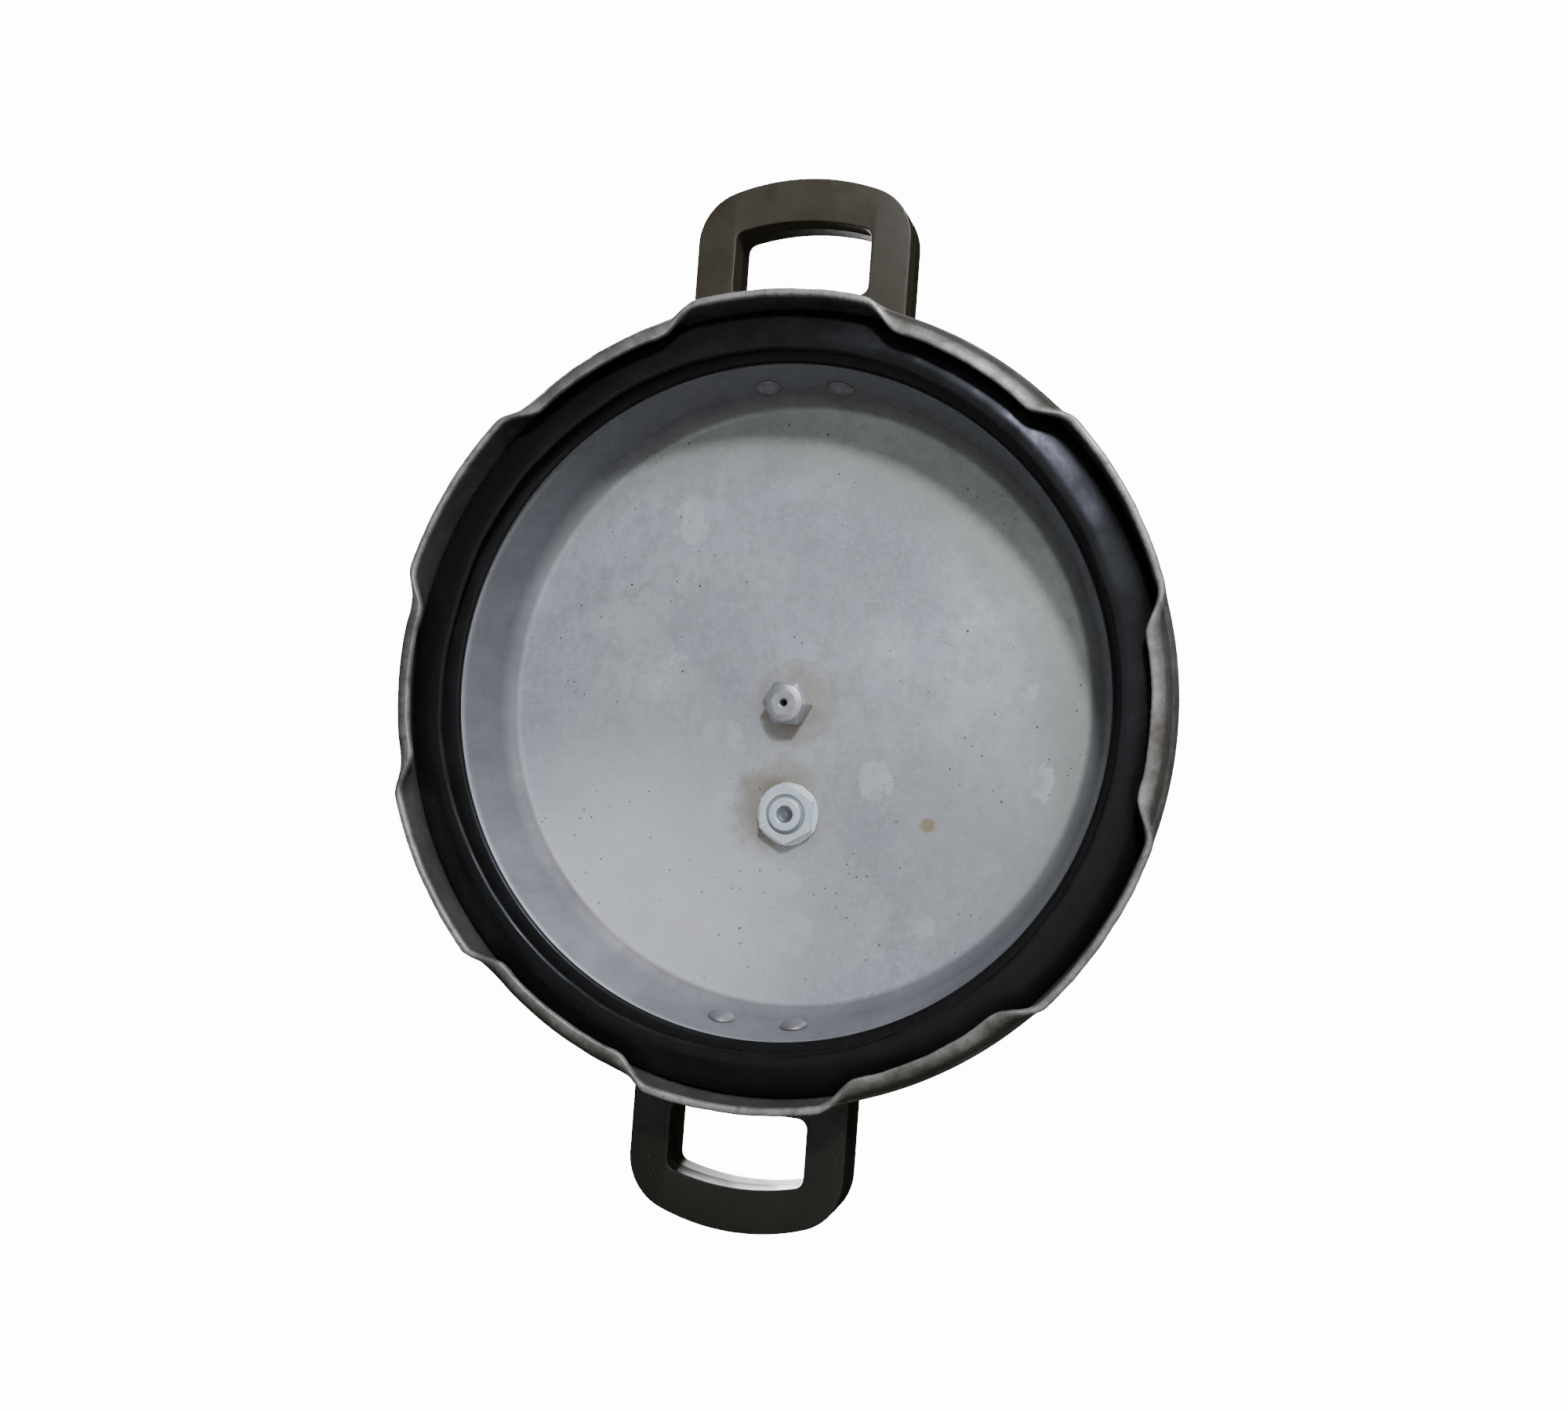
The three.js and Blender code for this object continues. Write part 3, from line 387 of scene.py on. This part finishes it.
def piece(name, points, faces, material, nodes, body="lid", crease=35.0):
    """Makes a mesh from points in millimetres, smooth but for edges sharper than crease."""
    mesh = bpy.data.meshes.new(name)
    mesh.from_pydata((np.asarray(points, float) * MM).tolist(), [], faces)
    mesh.validate()
    mesh.update()
    mesh.shade_smooth()
    mesh.set_sharp_from_angle(angle=math.radians(crease))
    mesh.materials.append(material)
    obj = bpy.data.objects.new(name, mesh)
    bpy.context.scene.collection.objects.link(obj)
    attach(obj, body)
    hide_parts(*nodes)
    return obj


def grid_faces(rows, columns, wrap_rows=True, wrap_columns=True):
    """Quads over a grid of points, row by row."""
    faces = []
    for i in range(rows if wrap_rows else rows - 1):
        k = (i + 1) % rows
        for j in range(columns if wrap_columns else columns - 1):
            m = (j + 1) % columns
            faces.append((i * columns + j, k * columns + j, k * columns + m, i * columns + m))
    return faces


def arc(cx, cy, radius, start, end, steps):
    """Points of an arc, both ends included, angles in degrees."""
    angles = np.radians(np.linspace(start, end, steps + 1))
    return list(zip(cx + radius * np.cos(angles), cy + radius * np.sin(angles)))


def line(a, b, steps):
    """Points from a to b without b."""
    return [(a[0] + (b[0] - a[0]) * i / steps, a[1] + (b[1] - a[1]) * i / steps) for i in range(steps)]


def soften(profile, radius, steps=3):
    """Rounds the corners of a closed (r, z) profile, leaving corners on the axis."""
    out = []
    count = len(profile)
    for i, point in enumerate(profile):
        p = np.array(point, float)
        before = np.array(profile[i - 1], float)
        after = np.array(profile[(i + 1) % count], float)
        if p[0] < 1e-6:
            out.append(tuple(p))
            continue
        to_before, to_after = before - p, after - p
        cut = min(radius, 0.45 * np.linalg.norm(to_before), 0.45 * np.linalg.norm(to_after))
        a = p + to_before / np.linalg.norm(to_before) * cut
        b = p + to_after / np.linalg.norm(to_after) * cut
        for t in np.linspace(0, 1, steps + 1):
            out.append(tuple((1 - t) ** 2 * a + 2 * t * (1 - t) * p + t * t * b))
    return out


def hex_radius(angle, flats, turned):
    """Distance to the side of a hexagon, with slightly rounded corners."""
    local = (angle + (math.pi / 6 if turned else 0.0)) % (math.pi / 3) - math.pi / 6
    side = flats / 2 / math.cos(local)
    return min(side, flats / 2 * 1.145)


def turned_piece(name, profile, material, nodes, body="lid", at=(0, 0), hexagon=None,
                 turned=False, segments=96, soft=0.25, matrix=None, edge=None):
    """Revolves a closed (r, z) profile. Within hexagon = (flats, low, high) it is cut to a
    hexagon; its corners point along X, or along Y when turned."""
    outline = soften(profile, soft)
    points = []
    for i in range(segments):
        angle = 2 * math.pi * i / segments
        for r, z in outline:
            if hexagon and hexagon[1] - 1e-6 <= z <= hexagon[2] + 1e-6:
                r = min(r, hex_radius(angle, hexagon[0], turned))
            if edge:
                r, z = edge(angle, r, z)
            points.append((r * math.cos(angle), r * math.sin(angle), z))
    if matrix is None:
        points = [(x + at[0], y + at[1], z) for x, y, z in points]
    else:
        points = [tuple(matrix @ Vector(p)) for p in points]
    obj = piece(name, points, grid_faces(segments, len(outline)), material, nodes, body)
    weld(obj)
    return obj


def weld(obj):
    """Joins points that lie in one place, such as those on an axis."""
    mesh = bmesh.new()
    mesh.from_mesh(obj.data)
    bmesh.ops.remove_doubles(mesh, verts=mesh.verts, dist=1e-7)
    mesh.to_mesh(obj.data)
    mesh.free()


# ---------------------------------------------------------------- lid

SHEET = 3.2
SHOULDER = 19.6
PLATE = 51.5
SLOPE = 0.169
LEAN = math.degrees(math.atan(SLOPE))
LUG_PHASE = -0.9
LUG_INNER = 150.6


def wall_inner(z):
    return 135.1 - SLOPE * (z - SHOULDER)


def lid_profiles():
    """(section at a lug, section at a straight arc), with the same number of points."""
    cos = math.cos(math.radians(LEAN))
    fillet = (wall_inner(PLATE - 8) - 8 / cos, PLATE - 8)
    bend = (wall_inner(SHOULDER + 4) + 4 / cos, SHOULDER + 4)
    inside = [(6.3, PLATE), (6.8, PLATE)]
    inside += line((10, PLATE), (fillet[0], PLATE), 22)
    inside += arc(*fillet, 8, 90, LEAN, 14)
    inside += line((wall_inner(44.4), 44.4), (wall_inner(23.6), 23.6), 9)[1:]
    inside += arc(*bend, 4, 180 + LEAN, 270, 9)
    inside += line((141, SHOULDER), (152.8, SHOULDER), 4)
    inside += arc(152.8, 15.6, 4, 90, 0, 6)
    outside = arc(154, 16.8, 6, 0, 90, 9)
    outside += line((150, 22.8), (139.4, 22.8), 4)
    outside += arc(*bend, 0.8, 270, 180 + LEAN, 4)
    top = wall_inner(44.4) + SHEET / cos
    foot = wall_inner(25.5) + SHEET / cos
    outside += line((foot, 25.5), (top, 44.4), 8)
    outside += arc(*fillet, 8 + SHEET, LEAN, 90, 14)
    outside += line((118, PLATE + SHEET), (6.9, PLATE + SHEET), 22)
    outside += [(6.3, PLATE + SHEET), (6.3, PLATE + 1.6)]

    lug = [(151.6 + 5.2 * x, 15 + 11.8 * z) for x, z in arc(0, 0, 1, 0, -90, 14)]
    lug += [(LUG_INNER + dr, z) for dr, z in (
        (0.7, SHEET), (0.4, 3.1), (0.15, 2.85), (0.02, 2.4), (0, 1.6), (0.02, 0.8), (0.15, 0.35),
        (0.4, 0.1), (0.7, 0))]
    lug += [(151.6 + 8.4 * x, 15 + 15 * z) for x, z in arc(0, 0, 1, -90, 0, 16)]
    straight = line((156.9, 15), (157.76, 2.2), 14) + [(157.76, 2.2)]
    straight += [(157.82, 1.5), (157.95, 1.0), (158.15, 0.6), (158.4, 0.3), (158.75, 0.1), (159.1, 0),
                 (159.4, 0), (159.7, 0), (160.05, 0.03), (160.4, 0.15), (160.7, 0.38), (160.9, 0.75)]
    straight += line((161, 1.4), (160.05, 15), 13) + [(160.05, 15)]
    return np.array(inside + lug + outside), np.array(inside + straight + outside)


def from_straight(degrees):
    """Angle from the middle of the nearest straight arc of the rim."""
    degrees -= LUG_PHASE
    return abs(degrees - 60 * round(degrees / 60))


def straightness(degrees):
    """1 on the straight arcs of the rim, 0 on the lugs."""
    t = min(max((from_straight(degrees) - 12.4) / 6.2, 0.0), 1.0)
    return 1 - t * t * (3 - 2 * t)


def lid_shell():
    """The pressed sheet: its section changes from lug to straight arc and back round the rim."""
    segments = 1080
    wide = cad_box[1][1] / MM
    lug, straight = lid_profiles()
    points = []
    for i in range(segments):
        degrees = 360.0 * i / segments
        share = straightness(degrees)
        section = lug * (1 - share) + straight * share
        pinch = 0.4 * math.exp(-((from_straight(degrees) - 19.6) / 1.6) ** 2)
        c, s = math.cos(math.radians(degrees)), math.sin(math.radians(degrees))
        for r, z in section:
            low = max(0.0, min(1.0, (12 - z) / 9))
            p = Vector((r * c, r * s, z))
            r -= pinch * max(0.0, min(1.0, (9 - z) / 6))
            r += 0.22 * low * noise.noise(p * 0.11) + 0.10 * low * noise.noise(p * 0.45)
            if z > 0.6:
                z += 0.10 * low * noise.noise(p * 0.3 + Vector((7, 3, 1)))
            if z > 40:
                z += 0.16 * noise.noise(Vector((r * c, r * s, 0)) * 0.022)
            points.append((r * c, min(max(r * s, -wide), wide), z))
    faces = grid_faces(segments, len(lug))
    return piece("lid_sheet", points, faces, LID_SHEET, ["lid_shell"], crease=60)


lid_shell()


def gasket():
    """The sealing ring, swaying a little where its lip hangs free."""
    back = SHOULDER - 0.3
    outline = soften([
        (135.2, back - 1.4), (136.2, back - 2.6), (144, back - 3.8), (147.4, back - 5.4),
        (146.8, back - 7.2), (142.8, back - 9.2), (139, back - 10.3), (138.4, back - 11.3),
        (139.6, back - 12.2), (143, back - 12.3), (148, back - 11), (152, back - 9.5), (155, back - 7),
        (156.3, back - 4.7), (156.3, back - 3.6), (155.2, back - 1.3), (152.6, back), (135.8, back),
    ], 1.6, 4)
    segments = 720
    points = []
    for i in range(segments):
        angle = 2 * math.pi * i / segments
        c, s = math.cos(angle), math.sin(angle)
        ring = Vector((c, s, 0))
        sway = 0.9 * noise.noise(ring * 2.3) + 0.35 * noise.noise(ring * 9)
        lift = 0.7 * noise.noise(ring * 2.9 + Vector((4, 4, 4))) + 0.25 * noise.noise(ring * 13)
        for r, z in outline:
            free = max(0.0, min(1.0, (back - 4 - z) / 7)) * max(0.0, min(1.0, (155 - r) / 9))
            points.append(((r + sway * free) * c, (r + sway * free) * s, z + lift * free))
    faces = grid_faces(segments, len(outline))
    return piece("seal_ring", points, faces, RUBBER, ["sealing_gasket"])


gasket()


# ---------------------------------------------------------------- vent and weight


def vent():
    low, high = span("vent_tube")
    bottom, top = low.z, high.z
    head = bottom + 10.7
    shank = top - 10.6
    turned_piece("vent_stem", [
        (1.5, bottom + 0.4), (1.9, bottom), (5.2, bottom), (7.65, bottom + 0.7), (9.9, bottom + 2.5),
        (9.9, head), (6, head + 0.1), (6, shank), (5.1, shank + 0.8), (5, shank + 1), (5, top - 1),
        (4, top), (2.4, top), (1.5, top - 0.9),
    ], TURNED, ["vent_tube"], hexagon=(VENT_FLATS, bottom - 1, head + 0.09),
        turned=True, segments=144)
    low, high = span("vent_washer")
    turned_piece("vent_washer_fine", [(6.3, low.z), (11.5, low.z), (11.5, high.z), (6.3, high.z)],
                 STEEL, ["vent_washer"])
    nut("vent_nut_fine", "vent_nut", VENT_NUT_FLATS, 6.3, TURNED)


def nut(name, node, flats, bore, material, turned=False):
    low, high = span(node)
    middle = centre(node)
    corner = flats / math.sqrt(3)
    drop = (corner - flats / 2) * 0.6
    turned_piece(name, [
        (bore, low.z + 0.3), (bore + 0.4, low.z), (flats / 2, low.z), (corner, low.z + drop),
        (corner, high.z - drop), (flats / 2, high.z), (bore + 0.4, high.z), (bore, high.z - 0.3),
    ], material, [node], at=(middle.x, middle.y), hexagon=(flats, low.z, high.z),
        turned=turned, segments=120, soft=0.2)


def weight():
    low, high = span("weight_body")
    bottom, top = low.z, high.z
    turned_piece("weight_steel", [
        (5.6, bottom), (11, bottom), (12.5, bottom + 1.5), (12.5, bottom + 9), (11.7, bottom + 9.8),
        (11.7, bottom + 11.2), (12.5, bottom + 12), (12.5, top - 1), (11.5, top), (2.3, top),
        (2.3, top - 4), (0, top - 4), (0, top - 5), (3.05, top - 5.1), (3.05, bottom + 13.7),
        (5.6, bottom + 13.7),
    ], STEEL, ["weight_body"], body="weight", segments=128)
    low, high = span("weight_needle")
    turned_piece("valve_pin", [
        (0, low.z), (3, low.z + 5.2), (4.6, low.z + 5.4), (4.6, high.z - 2.2), (3, high.z - 2.2),
        (3, high.z), (0, high.z),
    ], STEEL, ["weight_needle"], body="valve_needle", segments=64, soft=0.12)
    low, high = span("weight_cap")
    b, t = low.z, high.z

    def grip(angle, r, z):
        if r > 13 and b + 1.2 < z < t - 4:
            r -= 0.35 * (0.5 + 0.5 * math.cos(angle * 36)) ** 3
        return r, z

    turned_piece("weight_knob", [
        (2.4, b), (13.5, b), (14.5, b + 1), (14.3, b + 4), (14.1, b + 7), (13.9, t - 5), (12.5, t - 2),
        (10, t - 0.4), (7.5, t), (4.6, t), (4.6, t - 3), (2.4, t - 3),
    ], PHENOLIC, ["weight_cap"], body="weight", segments=288, soft=0.8, edge=grip)


vent()
weight()


# ---------------------------------------------------------------- safety plug


def plug():
    low, high = span("plug_body")
    face, top = low.z, high.z
    hex_low, hex_high = face + 1.5, face + 5.1
    at = (PLUG_AT.x, PLUG_AT.y)
    turned_piece("plug_fitting", [
        (3.4, face + 0.3), (3.8, face), (6.5, face), (7, face + 0.5), (7, hex_low + 0.8),
        (8.3, hex_low + 0.8),
        (8.4, hex_low), (12.3, hex_low), (12.8, hex_low + 0.4), (12.8, hex_high), (6.5, hex_high),
        (6.5, top - 1), (5.5, top), (3.8, top), (3.4, top - 0.4),
    ], ZINC, ["plug_body"], at=at, hexagon=(PLUG_FLATS, hex_low, hex_high),
        segments=144, soft=0.22)
    low, high = span("plug_alloy")
    turned_piece("plug_core", [
        (0, low.z + 0.45), (1.6, low.z + 0.4), (2.8, low.z + 0.1), (3.2, low.z), (3.2, high.z), (0, high.z),
    ], ALLOY, ["plug_alloy"], at=at, segments=64)
    low, high = span("plug_washer")

    def ragged(angle, r, z):
        if r > 12:
            here = Vector((math.cos(angle), math.sin(angle), 0))
            r += 0.5 * noise.noise(here * 3.1) - 0.45 + 0.2 * noise.noise(here * 15)
        return r, z

    turned_piece("plug_ring", [(6.8, low.z), (13.6, low.z), (13.6, high.z), (6.8, high.z)], ZINC,
                 ["plug_washer"], at=at, edge=ragged, segments=144)
    nut("plug_nut_fine", "plug_nut", PLUG_FLATS, 6.8, ZINC)


plug()


# ---------------------------------------------------------------- handles


GRIP_REACH = 212.0
GRIP_HALF_WIDTH = 44.8
GRIP_ROOT_RADIUS = 141.2
GRIP_RELIEF_RADIUS = 161.5  # inside it the underside is raised, clear of the shoulder
GRIP_RELIEF = 2.9
OPENING_REACH = 194.3
OPENING_HALF_WIDTH = 28.3
RIVET_HEIGHT = 38.0
RIVET_OFFSET = 15.5
RIVET_GAP = 0.35
BRACKET_GAP = 0.3
BRACKET_SHEET = 2.0


def far_edge(outer, half, end_radius, corner, steps):
    """Far edge of the handle's outline: an arc between two rounded corners."""
    cx = outer - end_radius
    y = half - corner
    reach = end_radius - corner
    x = cx + math.sqrt(reach * reach - y * y)
    meet = math.degrees(math.atan2(y, x - cx))
    return (arc(x, -y, corner, -90, -meet, steps) + arc(cx, 0, end_radius, -meet, meet, 40)[1:-1]
            + arc(x, y, corner, meet, 90, steps))


def inward(loop):
    """Unit vectors that point into a closed anticlockwise loop."""
    pts = np.array(loop)
    along = np.roll(pts, -1, 0) - np.roll(pts, 1, 0)
    along /= np.linalg.norm(along, axis=1)[:, None]
    return np.stack([-along[:, 1], along[:, 0]], 1)


def densify(loop, step, closed=True):
    """Adds points to the long sides of a loop, or of an open line."""
    out = []
    for i, a in enumerate(loop if closed else loop[:-1]):
        b = loop[(i + 1) % len(loop)]
        count = max(1, round(math.dist(a, b) / step))
        out += line(a, b, count)
    return out if closed else out + [loop[-1]]


def handle(end, heading):
    """One loop handle: an outline with a finger hole, rounded edges and a parting line."""
    node = f"{end}_handle"
    low, high = span(node)
    base, top = low.z, high.z
    half, relief_z = GRIP_HALF_WIDTH, base + GRIP_RELIEF
    split = math.sqrt(GRIP_RELIEF_RADIUS ** 2 - half ** 2)
    root = math.degrees(math.asin(half / GRIP_ROOT_RADIUS))
    outer = [(split, -half)] + far_edge(GRIP_REACH, half, 90, 22, 24) + [(split, half)]
    inner = [(split, half)] + arc(0, 0, GRIP_ROOT_RADIUS, root, -root, 40) + [(split, -half)]
    outer, inner = densify(outer, 2.0, False), densify(inner, 2.0, False)
    hole = far_edge(OPENING_REACH, OPENING_HALF_WIDTH, 95, 4, 8)
    hole += arc(168, 24.3, 4, 90, 180, 8) + arc(168, -24.3, 4, 180, 270, 8)
    hole = densify(hole, 2.0)
    middle = (base + top) / 2
    side = [(0.8, base), (0.55, base + 0.04), (0.34, base + 0.13), (0.2, base + 0.28), (0.12, base + 0.48),
            (0.1, base + 0.75), (0.1, middle - 0.4), (0.0, middle - 0.2), (0.0, middle + 0.2),
            (0.1, middle + 0.4), (0.1, top - 0.75), (0.12, top - 0.48), (0.2, top - 0.28),
            (0.34, top - 0.13), (0.55, top - 0.04), (0.8, top)]
    points, faces = [], []

    def wall(loop, sign, raised):
        """Side wall along a loop; gives the index of its first point."""
        start = len(points)
        for p, n, lift in zip(np.array(loop), inward(loop) * sign, raised):
            for inset, z in side:
                q = p + n * inset
                points.append((q[0], q[1], max(z, relief_z) if lift else z))
        for face in grid_faces(len(loop), len(side), True, False):
            face = tuple(start + v for v in face)
            faces.append(face if sign > 0 else tuple(reversed(face)))
        return start

    def cap(loops, upward):
        """Flat face inside the first loop and outside the others."""
        flat = [v for loop in loops for v in loop]
        polygons = [[Vector((points[v][0], points[v][1], 0)) for v in loop] for loop in loops]
        for tri in tessellate_polygon(polygons):
            a, b, c = (flat[t] for t in tri)
            pa, pb, pc = (np.array(points[v][:2]) for v in (a, b, c))
            up = (pb - pa)[0] * (pc - pa)[1] - (pb - pa)[1] * (pc - pa)[0] > 0
            faces.append((a, b, c) if up == upward else (a, c, b))

    columns = len(side)
    first = wall(outer + inner, 1, [False] * len(outer) + [True] * len(inner))
    hole_first = wall(hole, -1, [False] * len(hole))
    low_outer = [first + i * columns for i in range(len(outer))]
    low_inner = [first + (len(outer) + i) * columns for i in range(len(inner))]
    low_hole = [hole_first + i * columns for i in range(len(hole))]
    ends = points[low_outer[-1]]
    reach, bend = math.hypot(ends[0], ends[1]), math.degrees(math.atan2(ends[1], ends[0]))
    step = arc(0, 0, reach, bend, -bend, 40)[1:-1]
    below = [len(points) + i for i in range(len(step))]
    points.extend((x, y, base) for x, y in step)
    above = [len(points) + i for i in range(len(step))]
    points.extend((x, y, relief_z) for x, y in step)
    cap([low_outer + below, low_hole], False)
    cap([low_inner + above[::-1]], False)
    cap([[v + columns - 1 for v in low_outer + low_inner], [v + columns - 1 for v in low_hole]], True)
    below = [low_outer[-1]] + below + [low_outer[0]]
    above = [low_inner[0]] + above + [low_inner[-1]]
    for i in range(len(below) - 1):
        faces.append((below[i], below[i + 1], above[i + 1], above[i]))
    turn = Matrix.Rotation(heading, 3, "Z")
    points = [tuple(turn @ Vector(p)) for p in points]
    grip = piece(f"{end}_grip", points, faces, PHENOLIC, [node], crease=50)
    weld(grip)
    return grip


def through_wall(heading, side):
    """Matrix that takes +Z out through the raised wall at a rivet, z = 0 on its inner face."""
    radius = wall_inner(RIVET_HEIGHT)
    angle = heading + side * math.asin(RIVET_OFFSET / radius)
    lean = math.radians(LEAN)
    out = Vector((math.cos(lean) * math.cos(angle), math.cos(lean) * math.sin(angle), math.sin(lean)))
    place = Matrix.Translation((radius * math.cos(angle), radius * math.sin(angle), RIVET_HEIGHT))
    return place @ Vector((0, 0, 1)).rotation_difference(out).to_matrix().to_4x4()


def hardware(end, heading):
    """The two rivets and the two screw nuts of a handle."""
    for side_name, side in SIDES:
        tail = SHEET + BRACKET_GAP + BRACKET_SHEET + RIVET_GAP
        head = [(0, -2.55), (2.2, -2.45), (4.0, -2.0), (5.2, -1.2), (5.8, -0.5), (5.8, -0.35), (2.4, -0.35),
                (2.4, tail), (4.2, tail), (3.9, tail + 0.9), (2.6, tail + 1.7), (0, tail + 2)]
        turned_piece(f"{end}_rivet_fine_{side_name}", head, RIVET, [f"{end}_rivet_{side_name}"],
                     matrix=through_wall(heading, side), segments=56, soft=0.3)
        node = f"{end}_screw_nut_{side_name}"
        nut(f"{end}_nut_fine_{side_name}", node, 8, 2.7, STEEL)


for name, angle in ENDS:
    handle(name, angle)
    hardware(name, angle)

KINDS = ("bracket", "screw_right", "screw_left")
for node in [f"{end}_{kind}" for end, _ in ENDS for kind in KINDS] + ["weight_screw"]:
    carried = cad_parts[node]
    for material_slot in carried.material_slots:
        material_slot.material = STEEL
    bevel = carried.modifiers.new("edges", "BEVEL")
    bevel.width = 0.25 * MM
    bevel.segments = 3
    bevel.limit_method = "ANGLE"
    bevel.angle_limit = math.radians(40)


# ---------------------------------------------------------------- surroundings


def flat_material(name, colour):
    s = Shade(name, Roughness=0.9)
    s.set(s.shader.inputs["Base Color"], (*colour, 1.0))
    return s.material


def sheet(name, size, height, material):
    mesh = bpy.data.meshes.new(name)
    h = size / 2
    corners = [(-h, -h, height), (h, -h, height), (h, h, height), (-h, h, height)]
    mesh.from_pydata(corners, [], [(0, 1, 2, 3)])
    mesh.materials.append(material)
    obj = bpy.data.objects.new(name, mesh)
    bpy.context.scene.collection.objects.link(obj)
    return obj


sheet("floor", 9.0, -1.15, flat_material("pale_floor", (0.82, 0.82, 0.81)))


def aim(obj, position, target, up):
    """Points an object's -Z at target with its +Y towards up."""
    back = (Vector(position) - Vector(target)).normalized()
    right = Vector(up).cross(back).normalized()
    rotation = Matrix((right, back.cross(right), back)).transposed().to_4x4()
    obj.matrix_world = Matrix.Translation(position) @ rotation


def soft_light(name, position, target, size, watts, colour=(1, 1, 1), spread=180):
    light = bpy.data.lights.new(name, "AREA")
    light.spread = math.radians(spread)
    light.shape = "DISK"
    light.size = size
    light.energy = watts
    light.color = colour
    obj = bpy.data.objects.new(name, light)
    bpy.context.scene.collection.objects.link(obj)
    aim(obj, position, target, (1, 0, 0.01))


# The camera looks up into the lid, so +X is up in the picture and +Y is right.
soft_light("key", (0.613, 0.286, -0.736), (0, 0, 0.03), 0.11, 7.8, (0.93, 0.955, 1.0))
soft_light("side", (0.95, 0.75, -0.55), (0, 0, 0.02), 0.9, 6, (0.97, 0.99, 1.0))
soft_light("fill", (-0.35, -0.5, -0.95), (0, 0, 0.03), 0.6, 0.25, (0.97, 0.98, 1.0))
soft_light("top", (0.5, -0.9, 1.5), (0, 0, 0.05), 1.2, 10, (1.0, 1.0, 1.0), 45)

world = bpy.data.worlds.new("studio")
bpy.context.scene.world = world
world.use_nodes = True
tree = world.node_tree
tree.nodes["Background"].inputs["Color"].default_value = (0.9, 1.0, 0.62, 1)
tree.nodes["Background"].inputs["Strength"].default_value = 0.035
seen = tree.nodes.new("ShaderNodeBackground")
seen.inputs["Color"].default_value = (1, 1, 1, 1)
seen.inputs["Strength"].default_value = 14.0
ray = tree.nodes.new("ShaderNodeLightPath")
either = tree.nodes.new("ShaderNodeMixShader")
tree.links.new(ray.outputs["Is Camera Ray"], either.inputs[0])
tree.links.new(tree.nodes["Background"].outputs[0], either.inputs[1])
tree.links.new(seen.outputs[0], either.inputs[2])
tree.links.new(either.outputs[0], tree.nodes["World Output"].inputs["Surface"])

camera = bpy.data.cameras.new("camera")
camera.lens = 36.6
camera.sensor_width = 36
camera.clip_start = 0.01
camera_object = bpy.data.objects.new("camera", camera)
bpy.context.scene.collection.objects.link(camera_object)
aim(camera_object, (-0.0215, 0.1865, -0.5901), (-0.0025, 0.0125, 0.0), (0.997, -0.062, -0.050))
bpy.context.scene.camera = camera_object
